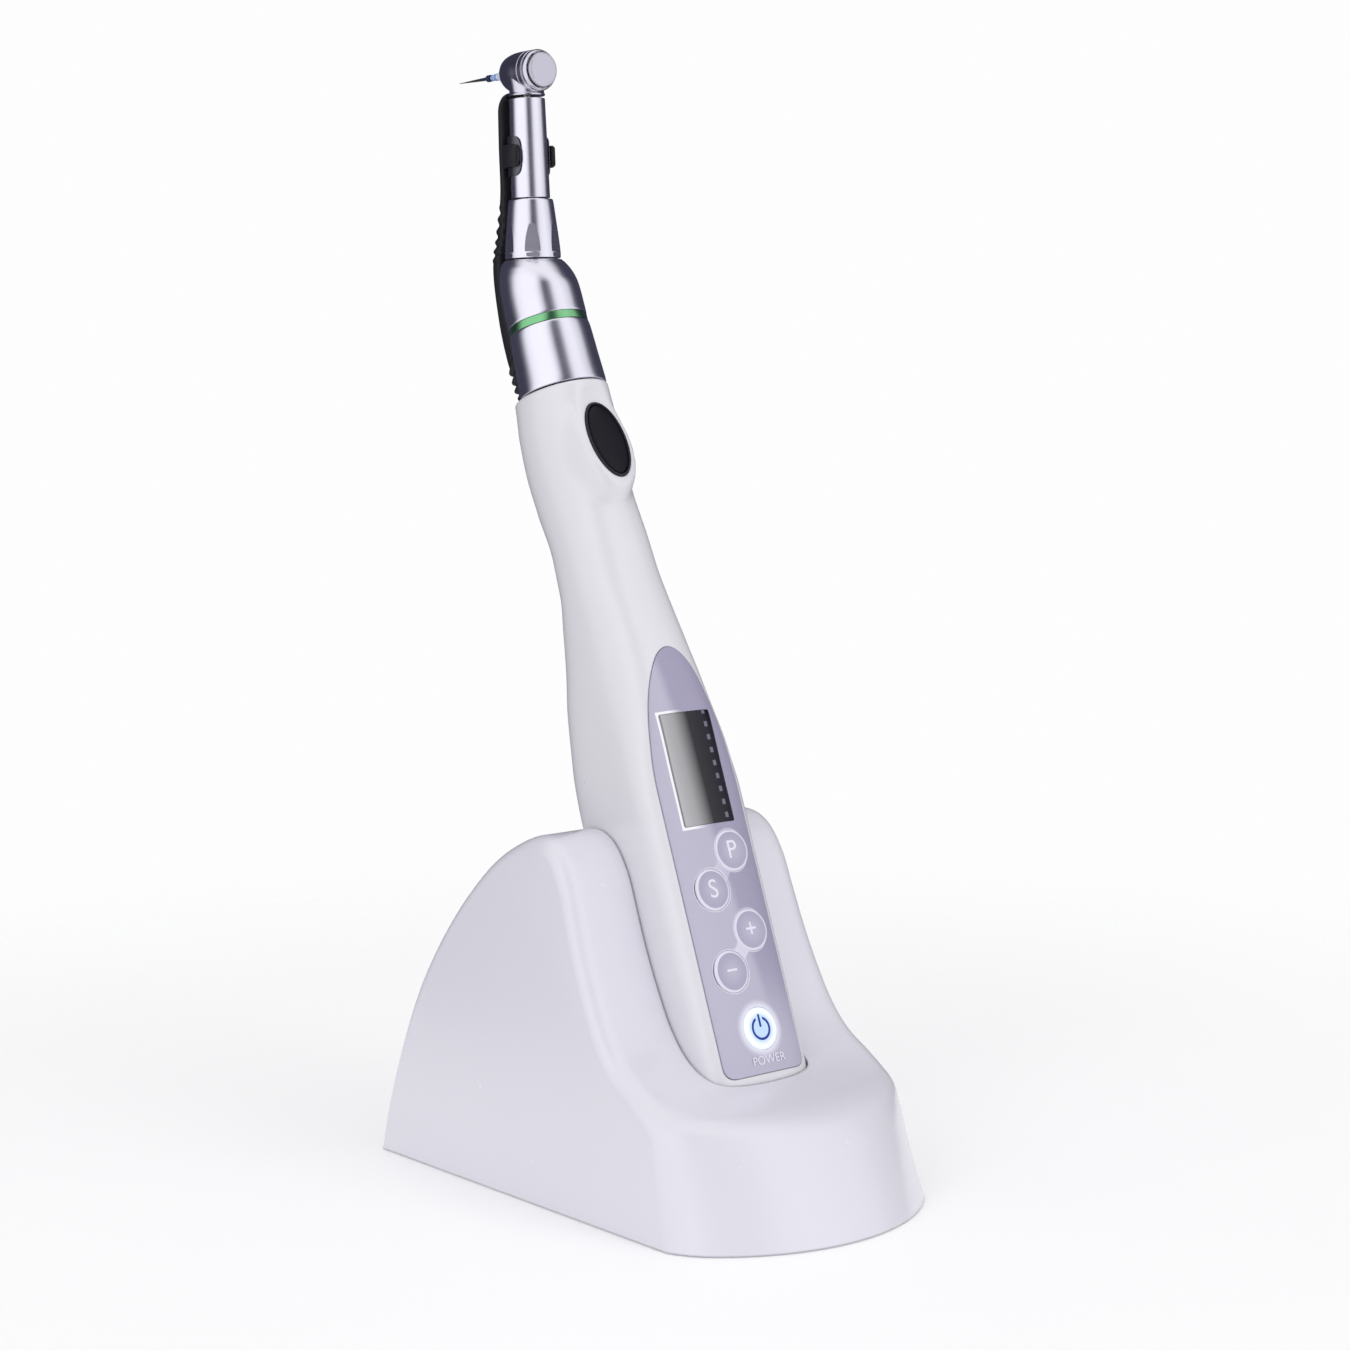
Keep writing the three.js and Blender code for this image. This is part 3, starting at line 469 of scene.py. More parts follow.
def gloss_shell(name, warm, cool, edge):
    """Polished moulded plastic: a faint cloud in its colour, a very fine orange peel and handling marks."""
    def vary(place):
        cloud = mottle(place, 22, 3)
        marks = mottle(place, 160, 4)
        return {
            "Base Color": between(cloud, warm, cool),
            "Roughness": 0.2 + 0.1 * marks,
            "Normal": relief(mottle(place, 900, 1), 4e-6, edge),
        }
    return finish(name, {"IOR": 1.5, "Coat Weight": 0.35, "Coat Roughness": 0.08}, vary)


CRADLE_PLAY, CRADLE_FLOOR, CRADLE_WALL, OVER_COVER = 0.4, -0.9, 2.2, 90
base_white = gloss_shell("base shell plastic", (0.735, 0.72, 0.795), (0.755, 0.742, 0.812), 0.0007)
base = base_form("charging_base_cover")
hollow = base_form("hollow")
hollow.data.transform(Matrix.Diagonal((1 - BASE_WALL / BASE_HALF, 1 - BASE_WALL / BASE_DEPTH, 1, 1)))
hollow.data.transform(Matrix.Translation((0, 0, -BASE_WALL * MM)))
walls = cradle_form("walls", CRADLE_PLAY + CRADLE_WALL, CRADLE_FLOOR - CRADLE_WALL, OVER_COVER)
liner = carve(base_form("liner"), walls, "INTERSECT")
carve(base, hollow)
carve(base, liner, "UNION")
carve(base, cradle_form("pocket", CRADLE_PLAY, CRADLE_FLOOR, OVER_COVER + 10))
carve(base, block("contact_slot", -9.3, 9.3, 12.7, 21.3, -6, 2, GRIP))
carve(base, block("inlet", -5.4, 5.4, 36, 62, 5.6, 16.4, BASE_PLACE))
settle(base, "base", "shell", base_white, "base_shell")


# ---------------------------------------------------------------- charging base, underside and inlet
# A flat plate screwed up into the cover, standing on four rubber feet, with a cast weight and
# the charging board above it. The supply's plug goes into a black socket at the back.
def dress(material, *nodes):
    """Gives a finish to pieces whose solids are kept as they come."""
    for node in nodes:
        frame["nodes"][node].data.materials.clear()
        frame["nodes"][node].data.materials.append(material)


def numbered(name, count):
    """The names of a set of like pieces."""
    return [f"{name}_{i}" for i in range(1, count + 1)]


def plain_plastic(name, dark, light, roughness, grain=1400, depth=1.2e-5, edge=0.0002, gloss=0.5):
    """Moulded plastic with a spark-eroded grain."""
    def vary(place):
        fine = mottle(place, grain, 3)
        return {
            "Base Color": between(mottle(place, 60, 3), dark, light),
            "Roughness": roughness + 0.12 * fine,
            "Normal": relief(fine, depth, edge),
        }
    return finish(name, {"IOR": 1.48, "Specular IOR Level": gloss}, vary)


def metal(name, dark, light, roughness, stretch=(1, 1, 30), depth=2e-6, edge=0.00012):
    """Machined metal: fine tool lines round the part, and a slight cloud in the polish."""
    def vary(place):
        lines = mottle(place, 120, 3, stretch)
        cloud = mottle(place, 90, 2)
        return {
            "Base Color": between(cloud, dark, light),
            "Roughness": roughness + 0.1 * lines + 0.05 * cloud,
            "Normal": relief(lines, depth, edge),
        }
    return finish(name, {"Metallic": 1.0}, vary)


underside = plain_plastic("plate plastic", (0.62, 0.61, 0.66), (0.66, 0.65, 0.7), 0.5)
foot_rubber = plain_plastic("foot rubber", (0.02, 0.02, 0.021), (0.035, 0.035, 0.037), 0.75, 700, 3e-5)
screw_steel = metal("screw steel", (0.42, 0.42, 0.44), (0.56, 0.56, 0.58), 0.3)
cast_iron = metal("weight iron", (0.1, 0.1, 0.11), (0.17, 0.17, 0.18), 0.55, (1, 1, 1), 6e-5)
contact_gold = metal("contact plating", (0.7, 0.48, 0.2), (0.82, 0.6, 0.28), 0.22)
black_plastic = plain_plastic("black plastic", (0.012, 0.012, 0.014), (0.022, 0.022, 0.025), 0.35)


def stripes(axis, per_mm, low, high):
    """Lines across an axis, so many to the millimetre, rising from low to high away from mid gap."""
    return rising(abs((axis * per_mm).fraction() - 0.5), low, high)


def board_vary(place):
    lines = stripes(parts_of(place)[0], 0.7, 0.36, 0.42)
    return {
        "Base Color": between(lines, (0.012, 0.09, 0.035), (0.03, 0.16, 0.06)),
        "Roughness": 0.35 + 0.2 * mottle(place, 300),
        "Normal": relief(lines, 2e-5),
    }


board_green = finish("solder mask", {"IOR": 1.5}, board_vary)
dress(underside, "base_plate")
dress(foot_rubber, *numbered("foot", 4))
dress(screw_steel, *numbered("base_screw", 4), "housing_screw")
dress(cast_iron, "base_weight")
dress(board_green, "charger_board", "main_board")
dress(contact_gold, *numbered("charge_pin", 2), *numbered("charge_contact", 2), "neck_bearing")
dress(black_plastic, "power_jack", "contact_block", "display_module", "start_switch")


# ---------------------------------------------------------------- handpiece casing
# Two polished shells joined down the back edges, squared at the foot and waisted at the fingers.
# The front one carries the panel recess and a raised boss round the start button.
JOINT_HEIGHT = 163.5
GRIP_WALL = 2.2
HEEL_ROUND, MOUTH_ROUND = 2.2, 0.7
START_DEPTH, START_HEIGHT, START_LEAN = 3.9, 148.7, math.radians(-11)
BOSS_WIDE, BOSS_TALL, BOSS_TOP = 6.15, 10.4, 0.15
BOSS_FULL, BOSS_FOOT, BOSS_BACK = 0.98, 1.42, 8
MOUTH_RADIUS, MOUTH_LIP = 8.4, 1.4
PANEL_HALF, PANEL_LOW, PANEL_HIGH, PANEL_CORNER, PANEL_DEPTH = 11.3, 3.6, 99.4, 3.0, 0.5
ARCH_FOOT, ARCH_PULL, ARCH_NARROW = 66, 80, 4.4
SCREW_HEIGHT = 96


def on_grip(x, y, z):
    """A frame at a place measured from the foot of the grip's front face."""
    return GRIP @ Matrix.Translation((x * MM, y * MM, z * MM))


START = on_grip(0, START_DEPTH, START_HEIGHT) @ Matrix.Rotation(START_LEAN, 4, "X")
INWARD = Matrix.Rotation(math.radians(-90), 4, "X")


def round_off(height, low, high):
    """How far an end is drawn in for its rounded edge."""
    drawn = 0.0
    for near, radius in ((height - low, HEEL_ROUND), (high - height, MOUTH_ROUND)):
        if near < radius:
            drawn += radius - math.sqrt(max(radius ** 2 - (radius - near) ** 2, 0))
    return drawn


def grip_form(name, inset=0.0, low=0.0, high=JOINT_HEIGHT, rounded=False, boss=False):
    """The grip as a solid, drawn in by an inset, with rounded ends and a start button boss where asked."""
    span = high - low
    heights = [low + span * i / 130 for i in range(131)]
    if rounded:
        heights += [low + HEEL_ROUND * s for s in (0.02, 0.08, 0.18, 0.32, 0.5, 0.74)]
        heights += [high - MOUTH_ROUND * s for s in (0.05, 0.25, 0.6)]
    rings = []
    for height in sorted(heights):
        ring = grip_ring(height, inset + (round_off(height, low, high) if rounded else 0))
        for point in ring if boss else []:
            y, z = point.y - START_DEPTH, point.z - START_HEIGHT
            if y > BOSS_BACK:
                continue
            tall = z * math.cos(START_LEAN) - y * math.sin(START_LEAN)
            ratio = math.hypot(point.x / BOSS_WIDE, tall / BOSS_TALL)
            level = START_DEPTH + (BOSS_TOP - z * math.sin(START_LEAN)) / math.cos(START_LEAN)
            point.y += (1 - eased(ratio, BOSS_FULL, BOSS_FOOT)) * (level - point.y)
        rings.append(ring)
    return skin(name, rings, GRIP)


def oval_form(name, levels, place, count=96):
    """An oval piece through (half width, half height, depth) levels, its depths measured inward."""
    rings = [[(wide * c, y, tall * s) for c, s in circle(count)] for wide, tall, y in levels]
    return skin(name, rings, place)


def rear_form(name, gap):
    """The space behind the parting line of the two shells."""
    line = [(29.3, -4), (29.3, 70), (28.3, 92), (23.6, 118), (24, 127), (26.2, 140), (25.5, 170)]
    edge = [(p.x + gap, p.y) for p in through(line, 6)] + [(60, 170), (60, -4)]
    return skin(name, [[(x, y, z) for y, z in edge] for x in (-30, 30)], GRIP)


def panel_outline(grow=0.0, steps=14):
    """The control panel's outline: an arch above, straight sides, small corners below."""
    half, low, high, corner = PANEL_HALF + grow, PANEL_LOW - grow, PANEL_HIGH + grow, PANEL_CORNER
    right = []
    for i in range(steps + 1):
        t = i / steps
        right.append(((1 - t) ** 2 * (half - corner) + 2 * t * (1 - t) * half + t * t * half,
                      (1 - t) ** 2 * low + 2 * t * (1 - t) * low + t * t * (low + corner)))
    for i in range(1, 3 * steps + 1):
        t = i / (3 * steps)
        weights = ((1 - t) ** 3, 3 * t * (1 - t) ** 2, 3 * t * t * (1 - t), t ** 3)
        right.append((sum(w * x for w, x in zip(weights, (half, half, half - ARCH_NARROW, 0))),
                      sum(w * z for w, z in zip(weights, (ARCH_FOOT, ARCH_PULL, high, high)))))
    return right + [(-x, z) for x, z in reversed(right[:-1])]


def plug(name, outline, low, high, place=GRIP):
    """An outline in X and Z pushed inward from one depth to another."""
    return skin(name, [[(x, y, z) for x, z in outline] for y in (low, high)], place)


def slot(half, low, high):
    """The outline of an upright slot on the middle line."""
    return [(-half, low), (half, low), (half, high), (-half, high)]


def turned(name, profile, place, count=96):
    """A turned piece about Z from (radius, height) points, closed on itself unless it meets the axis."""
    rings = [[(r * c, r * s, z) for r, z in profile] for c, s in circle(count)]
    touching = profile[0][0] == 0 or profile[-1][0] == 0
    faces, width = [], len(profile)
    for i in range(count):
        for j in range(width - 1 if touching else width):
            k, n = (j + 1) % width, (i + 1) % count
            faces.append((i * width + j, i * width + k, n * width + k, n * width + j))
    return new_piece(name, [p for ring in rings for p in ring], faces, place)


def rod(name, radius, low, high, place, count=96):
    """A round cutter along Z."""
    return turned(name, [(0, low), (radius, low), (radius, high), (0, high)], place, count)


grip_white = gloss_shell("grip plastic", (0.75, 0.74, 0.79), (0.77, 0.76, 0.81), 0.0004)


def casing(name):
    """The whole hollow grip, open at the mouth for the motor's nose."""
    shell = grip_form(name, rounded=True, boss=True)
    carve(shell, grip_form("inside", GRIP_WALL, GRIP_WALL, JOINT_HEIGHT - MOUTH_LIP))
    return carve(shell, rod("mouth", MOUTH_RADIUS, 150, 180, MOTOR))


front = carve(casing("front_casing"), rear_form("rear_space", 0))
panel_floor = grip_form("floor", PANEL_DEPTH, -1, JOINT_HEIGHT + 1)
carve(front, carve(plug("recess", panel_outline(0.14), -3, 6), panel_floor))
carve(front, plug("display_opening", slot(6.4, 59.8, 83.5), -3, 6))
carve(front, oval_form("start_well", [(5.3, 9.55, -4), (5.3, 9.55, 2)], START))
for side in (-5, 5):
    carve(front, rod("contact_hole", 2.1, -1, 4, on_grip(side, 17, 0), 40))
settle(front, "handpiece", "shell", grip_white, "front_housing")
rear = carve(casing("rear_casing"), rear_form("rear_space", 0.12), "INTERSECT")
carve(rear, rod("screw_hole", 2.5, 20, 40, on_grip(0, 0, SCREW_HEIGHT) @ INWARD, 48))
settle(rear, "handpiece", "shell", grip_white, "rear_housing")


# ---------------------------------------------------------------- control panel
# A satin lilac overlay let into the casing, with a clear window and holes for the keys.
# Pale rings, webs that join them in pairs and a glow round the power key are printed on it.
# Each key's place on the face: to the side, and up from the foot.
KEYS = {
    "program": (4, 52.5), "select": (-3.8, 44.6), "plus": (4.1, 34.6), "minus": (-3.9, 26.4),
    "power": (0.3, 13.2),
}
KEY_HOLE, RING_WIDE, RING_EDGE = 4.72, 0.3, 0.14
PANEL_PROUD, GLUE_GAP = -0.13, 0.05
WINDOW_HALF, WINDOW_LOW, WINDOW_HIGH = 7.2, 59.0, 84.3
WINDOW_MIDDLE, WINDOW_RISE = (WINDOW_LOW + WINDOW_HIGH) / 2, (WINDOW_HIGH - WINDOW_LOW) / 2
# LILAC and the darker lilac after it are one print: the paler one lit, the darker one in painted shade.
PALE, LILAC, LILAC_IN_PAINTED_SHADE = (0.78, 0.76, 0.88), (0.50, 0.475, 0.60), (0.345, 0.32, 0.455)


def distance(x, z, centre):
    aside, above = x - centre[0], z - centre[1]
    return (aside * aside + above * above).root()


def web(x, z, first, second, waist, flare):
    """1 on the web that joins two key rings: narrow half way, as wide as the rings at its ends."""
    run = Vector(second) - Vector(first)
    unit = run.normalized()
    along = ((x - first[0]) * unit.x + (z - first[1]) * unit.y) / run.length
    aside = abs((x - first[0]) * unit.y - (z - first[1]) * unit.x)
    middle = along - 0.5
    wide = waist + flare * middle * middle
    return rising(wide - aside, -0.25, 0.25) * rising(abs(middle), 0.5, 0.46)


def film(place, edge=0.0):
    """The satin surface of a printed film."""
    return {
        "Roughness": 0.3 + 0.08 * mottle(place, 900, 2),
        "Normal": relief(mottle(place, 2500, 1), 4e-6, edge),
    }


def overlay_vary(place):
    x, _, z = parts_of(place)
    # Painted shade and reflection: the overlay's right and upper part is painted a darker lilac, and its left
    # and lower part a paler one.
    painted_shade = rising(x + z * 0.11, 4.6, 7.6) * rising(z, 8.0, 30.0)
    colour = between(painted_shade, LILAC, LILAC_IN_PAINTED_SHADE)
    colour = between(mottle(place, 1800, 2) * 0.25, colour, (0.46, 0.43, 0.56))
    colour = between(0.35 * web(x, z, KEYS["program"], KEYS["select"], 2.0, 9.0), colour, PALE)
    colour = between(0.95 * web(x, z, KEYS["plus"], KEYS["minus"], 1.7, 10.0), colour, (0.70, 0.67, 0.80))
    for key in ("program", "select", "plus", "minus"):
        ring = rising(distance(x, z, KEYS[key]), KEY_HOLE + RING_WIDE, KEY_HOLE + RING_WIDE - RING_EDGE)
        colour = between(0.85 * ring, colour, PALE)
    glow = rising(distance(x, z, KEYS["power"]), 6.6, 4.6)
    colour = between(0.85 * glow, colour, (0.85, 0.87, 0.97))
    # A painted highlight on the window's rim: a white line round it, bright on the left and fading out
    # towards the right.
    frame_highlight = rising(abs(x), WINDOW_HALF + 0.75, WINDOW_HALF + 0.6) * rising(
        abs(z - WINDOW_MIDDLE), WINDOW_RISE + 0.75, WINDOW_RISE + 0.6)
    highlight_fade = rising(x, -0.5, -5.0)
    return {"Base Color": between(frame_highlight * highlight_fade, colour, (0.93, 0.93, 0.97)), **film(place, 0.00018)}


overlay = finish("panel overlay", {"IOR": 1.5, "Coat Weight": 0.25, "Coat Roughness": 0.18}, overlay_vary)


def face_plate(name, outline, proud, depth):
    """A plate that follows the grip's crowned face."""
    plate = carve(plug(name, outline, -3, 6), grip_form("face", proud), "INTERSECT")
    return carve(plate, grip_form("back", depth, -1, JOINT_HEIGHT + 1))


def window_outline(grow=0.0, corner=0.5):
    """The display window's outline, with small round corners."""
    wide, low, high = WINDOW_HALF + grow, WINDOW_LOW - grow, WINDOW_HIGH + grow
    points = []
    for cx, cz, start in ((wide, low, -90), (wide, high, 0), (-wide, high, 90), (-wide, low, 180)):
        for i in range(5):
            a = math.radians(start + 22.5 * i)
            points.append((cx - math.copysign(corner, cx) + corner * math.cos(a),
                           cz + (corner if start in (-90, 180) else -corner) + corner * math.sin(a)))
    return points


panel = face_plate("control_overlay", panel_outline(), PANEL_PROUD, PANEL_DEPTH - GLUE_GAP)
carve(panel, plug("window_hole", window_outline(0.08), -3, 6))
for spot in KEYS.values():
    carve(panel, rod("key_hole", KEY_HOLE, -4, 4, on_grip(spot[0], 0, spot[1]) @ INWARD))
settle(panel, "handpiece", "overlay", overlay, "control_panel", crease=40)


# ---------------------------------------------------------------- display
# A clear pane over a liquid crystal, with a painted reflection: pale towards its left edge and dark away from
# it.
# A column of small marks runs down the dark side.
MARK_SPOT, MARK_STEP = 5.3, 2.95


def crystal_vary(place):
    x, _, z = parts_of(place)
    # Painted reflection: the crystal is pale grey at its left edge and darkens to near black across it.
    level = x.node("ShaderNodeValToRGB", {"stops": [
        (0.0, (0.5, 0.5, 0.52)), (0.28, (0.36, 0.36, 0.375)), (0.42, (0.2, 0.2, 0.205)),
        (0.56, (0.03, 0.028, 0.034)), (1.0, (0.006, 0.005, 0.012))]}, {0: (x + z * 0.03 + 5.2) / 14.4})
    steps = ((z - WINDOW_LOW) / MARK_STEP).fraction()
    marks = rising(abs(x - MARK_SPOT), 0.55, 0.4) * rising(abs(steps - 0.5), 0.24, 0.16)
    border = rising(abs(x), WINDOW_HALF - 0.5, WINDOW_HALF - 0.35)
    colour = between(0.35 * marks, level, (0.45, 0.45, 0.6))
    colour = between(0.5 * border, colour, (0.02, 0.02, 0.03))
    return {
        "Base Color": colour,
        "Roughness": 0.06 + 0.05 * mottle(place, 220, 3),
        "Normal": relief(mottle(place, 500, 1), 2e-6, 0.0002),
    }


crystal = finish("display pane", {"IOR": 1.5, "Specular IOR Level": 0.22}, crystal_vary)
pane = face_plate("display_pane", window_outline(), PANEL_PROUD + GLUE_GAP, PANEL_DEPTH - GLUE_GAP)
settle(pane, "handpiece", "window", crystal, "display_window", crease=40)


# ---------------------------------------------------------------- keys
# Round caps a little above the overlay, printed with a pale ring and one sign each.
# The power key is a lit white disc with a blue sign.
KEY_EDGE, KEY_TOP, KEY_FOOT, KEY_ROUND = 4.66, -0.2, 0.5, 0.12
STEM_RADIUS, STEM_END = 1.2, 3.6
KEY_FORM = [
    (0, KEY_TOP), (3.4, KEY_TOP), (4.2, KEY_TOP + 0.05), (KEY_EDGE, KEY_TOP + 0.22), (KEY_EDGE, KEY_FOOT),
    (STEM_RADIUS, KEY_FOOT), (STEM_RADIUS, STEM_END), (0, STEM_END),
]
SIGNS = {"program": "P", "select": "S", "plus": "+", "minus": "−"}
INK_OUT, INK_IN = -0.02, 0.01


def round_corner(before, corner, after, radius, steps=4):
    """The points that round one corner of a profile."""
    a, b, c = Vector(before), Vector(corner), Vector(after)
    reach = min(radius, (a - b).length * 0.45, (c - b).length * 0.45)
    start, end = b + (a - b).normalized() * reach, b + (c - b).normalized() * reach
    shares = [i / steps for i in range(steps + 1)]
    return [tuple(start * (1 - t) ** 2 + b * 2 * t * (1 - t) + end * t * t) for t in shares]


def softened(profile, radius):
    """A profile from the axis and back to it, with its corners rounded between the first and last."""
    made = [profile[0]]
    for before, corner, after in zip(profile, profile[1:], profile[2:]):
        made += round_corner(before, corner, after, radius)
    return made + [profile[-1]]


def key_vary(place):
    x, y, _ = parts_of(place)
    radius = (x * x + y * y).root()
    colour = between(rising(radius, 0.0, 4.2), (0.5, 0.475, 0.6), (0.4, 0.375, 0.51))
    return {"Base Color": between(0.95 * rising(radius, 4.02, 4.16), colour, PALE), **film(place)}


def lamp_vary(place):
    x, y, _ = parts_of(place)
    colour = between(rising((x * x + y * y).root(), 2.4, 3.9), (0.5, 0.66, 0.97), (0.86, 0.89, 0.97))
    return {"Base Color": colour, "Emission Color": colour, **film(place)}


def print_ink(name, dark, light):
    return finish(name, {"IOR": 1.45}, lambda place: {
        "Base Color": between(mottle(place, 1500, 2), dark, light),
        "Roughness": 0.35 + 0.1 * mottle(place, 3000, 1),
    })


def lettering(name, text, size, spot, lift):
    """Flat letters printed on the face at a spot, standing in the plane of the control face."""
    words = bpy.data.curves.new(name, "FONT")
    words.body, words.size = text, size * MM
    words.align_x, words.align_y = "CENTER", "CENTER"
    words.extrude, words.offset = 0.012 * MM, 0.006 * MM
    source = bpy.data.objects.new("words", words)
    scene.collection.objects.link(source)
    bpy.context.view_layer.update()
    mesh = bpy.data.meshes.new_from_object(source.evaluated_get(bpy.context.evaluated_depsgraph_get()))
    bpy.data.objects.remove(source)
    piece = bpy.data.objects.new(name, mesh)
    piece.matrix_world = on_grip(spot[0], lift, spot[1]) @ Matrix.Rotation(math.radians(90), 4, "X")
    scene.collection.objects.link(piece)
    return piece


key_face = finish("key print", {"IOR": 1.5, "Coat Weight": 0.25, "Coat Roughness": 0.18}, key_vary)
lamp_face = finish("power lamp", {"IOR": 1.5, "Emission Strength": 0.16, "Coat Weight": 0.2}, lamp_vary)
pale_ink = print_ink("pale ink", (0.78, 0.76, 0.88), (0.84, 0.82, 0.92))
blue_ink = print_ink("blue ink", (0.008, 0.035, 0.26), (0.012, 0.05, 0.32))
for key, spot in KEYS.items():
    cap = turned(f"{key}_key", softened(KEY_FORM, KEY_ROUND), on_grip(spot[0], 0, spot[1]) @ INWARD)
    lit = key == "power"
    settle(cap, f"key_{key}", "lamp" if lit else "keys", lamp_face if lit else key_face, f"key_{key}")
    if not lit:
        sign = lettering(f"{key}_sign", SIGNS[key], 5.8, spot, KEY_TOP - 0.015)
        settle(sign, f"key_{key}", "keys", pale_ink)

power_face = on_grip(KEYS["power"][0], KEY_TOP, KEYS["power"][1])
arc_line = [(2.05, INK_OUT), (2.6, INK_OUT), (2.6, INK_IN), (2.05, INK_IN)]
power_sign = turned("power_sign_arc", arc_line, power_face @ INWARD)
carve(power_sign, plug("sign_gap", slot(0.95, 1, 3.4), -1, 1, power_face))
power_bar = plug("power_sign_bar", slot(0.28, 0.3, 3.1), INK_OUT, INK_IN, power_face)
settle(power_sign, "key_power", "keys", blue_ink)
settle(power_bar, "key_power", "keys", blue_ink)
power_word = lettering("power_word", "POWER", 2.7, (0.6, 6.3), PANEL_PROUD - 0.02)
settle(power_word, "handpiece", "keys", pale_ink)


# ---------------------------------------------------------------- start button
# A black oval pad with a soft crown, set in a thin glossy rim that is clipped into the boss.
PAD_WIDE, PAD_TALL, PAD_CROWN = 4.42, 8.68, 0.35
OVAL_STEPS = 128

crown = []
for d in (4.3, 3.6, 2.8, 2.0, 1.3, 0.8):
    crown.append((d, -0.25 - PAD_CROWN * (1 - ((PAD_WIDE - d) / PAD_WIDE) ** 2)))
crown += [(0.42, -0.27), (0.2, -0.17), (0.06, 0.02), (0, 0.25), (0, 1.1)]
pad = oval_form("start_pad", [(PAD_WIDE - d, PAD_TALL - d, y) for d, y in crown], START, OVAL_STEPS)
button_black = plain_plastic(
    "button plastic", (0.008, 0.008, 0.012), (0.013, 0.013, 0.018), 0.3, 1800, 5e-6, gloss=0.12)
settle(pad, "start_button", "black_plastic", button_black, "start_button")
rim_levels = [
    (4.6, 8.86, 1.5), (4.6, 8.86, -0.12), (4.68, 8.94, -0.26), (4.86, 9.12, -0.33), (5.04, 9.3, -0.28),
    (5.14, 9.4, -0.12), (5.14, 9.4, 1.5),
]
rim_rings = [[(wide * c, y, tall * s) for wide, tall, y in rim_levels] for c, s in circle(OVAL_STEPS)]
rim = skin("start_rim", rim_rings, START, closed=True)
rim_black = plain_plastic(
    "rim plastic", (0.012, 0.012, 0.016), (0.02, 0.02, 0.025), 0.2, 1800, 3e-6, gloss=0.3)
settle(rim, "handpiece", "black_plastic", rim_black, "start_button_bezel")


# ---------------------------------------------------------------- contra-angle, lower part
# Turned satin steel: a tapered sheath, the painted green ring let into it and a bent shoulder.
# The sheath slides on to the motor's nose.
SHOULDER_LOW, BEND = 180.4, 195.5
BEND_ANGLE, BEND_START = math.radians(17.5), 0.25


def joined_round(profile, radius):
    """A closed profile with all its corners rounded."""
    made = []
    for i, corner in enumerate(profile):
        made += round_corner(profile[i - 1], corner, profile[(i + 1) % len(profile)], radius)
    return made


def fine_line(*runs):
    """One list of points from runs of points. A run of more than two is drawn as a smooth curve."""
    made = []
    for run in runs:
        made += [tuple(p) for p in (through(run, 8) if len(run) > 2 else run)]
    return made


def green_vary(place):
    return {
        "Base Color": between(mottle(place, 260, 3), (0.16, 0.47, 0.2), (0.22, 0.55, 0.26)),
        "Roughness": 0.16 + 0.08 * mottle(place, 600, 2),
        "Normal": relief(mottle(place, 1200, 1), 3e-6, 0.0001),
    }


satin_steel = metal("satin steel", (0.72, 0.71, 0.77), (0.78, 0.77, 0.83), 0.13)
ring_green = finish("ring enamel", {"Metallic": 1.0, "Coat Weight": 0.5, "Coat Roughness": 0.06}, green_vary)
sheath = fine_line(
    ((6.9, 163.8), (9.75, 163.8)),
    ((9.95, 163.95), (9.98, 164.6), (9.7, 170), (9.25, 178.1), (9.15, 178.4)),
    ((9.0, 178.45), (8.25, 178.45)), ((8.25, 186), (7.45, 186)), ((7.45, 180.2), (1.5, 180.2)),
    ((1.5, 178.6), (6.9, 178.6)))
settle(turned("contra_angle_sheath", sheath, MOTOR, 144), "contra_angle", "head_metal", satin_steel, "sheath")
band = joined_round([(9.1, 178.55), (9.1, 180.3), (8.55, 180.3), (8.55, 178.55)], 0.08)
settle(turned("ratio_band", band, MOTOR, 144), "contra_angle", "ring_paint", ring_green, "ratio_ring")

def bent_rings(profile):
    """Rings from (radius, share of the shoulder's height) points, which lean more towards the bend."""
    rings = []
    for radius, share in profile:
        turn = BEND_ANGLE * eased(share, BEND_START, 1)
        level = SHOULDER_LOW + (BEND - SHOULDER_LOW) * share
        rings.append([(radius * c, radius * s * math.cos(turn), level + radius * s * math.sin(turn))
                      for c, s in circle(144)])
    return rings


shoulder_curve = fine_line(
    ((9.0, 0.0), (9.13, 0.012)), ((9.15, 0.03),),
    ((9.15, 0.05), (9.1, 0.3), (9, 0.5), (8.7, 0.68), (8.12, 0.83), (7.3, 0.94), (6.62, 0.993)),
    ((6.55, 0.999), (6.4, 1.0)))
shoulder = skin("shoulder_form", bent_rings(shoulder_curve), MOTOR)
carve(shoulder, skin("shoulder_hollow", bent_rings(
    [(8.55, -0.1), (8.55, 0.44), (6.6, 0.56), (6.2, 0.75), (4.6, 1.02), (4.6, 1.2)]), MOTOR))
settle(shoulder, "contra_angle", "head_metal", satin_steel, "shoulder", crease=40)


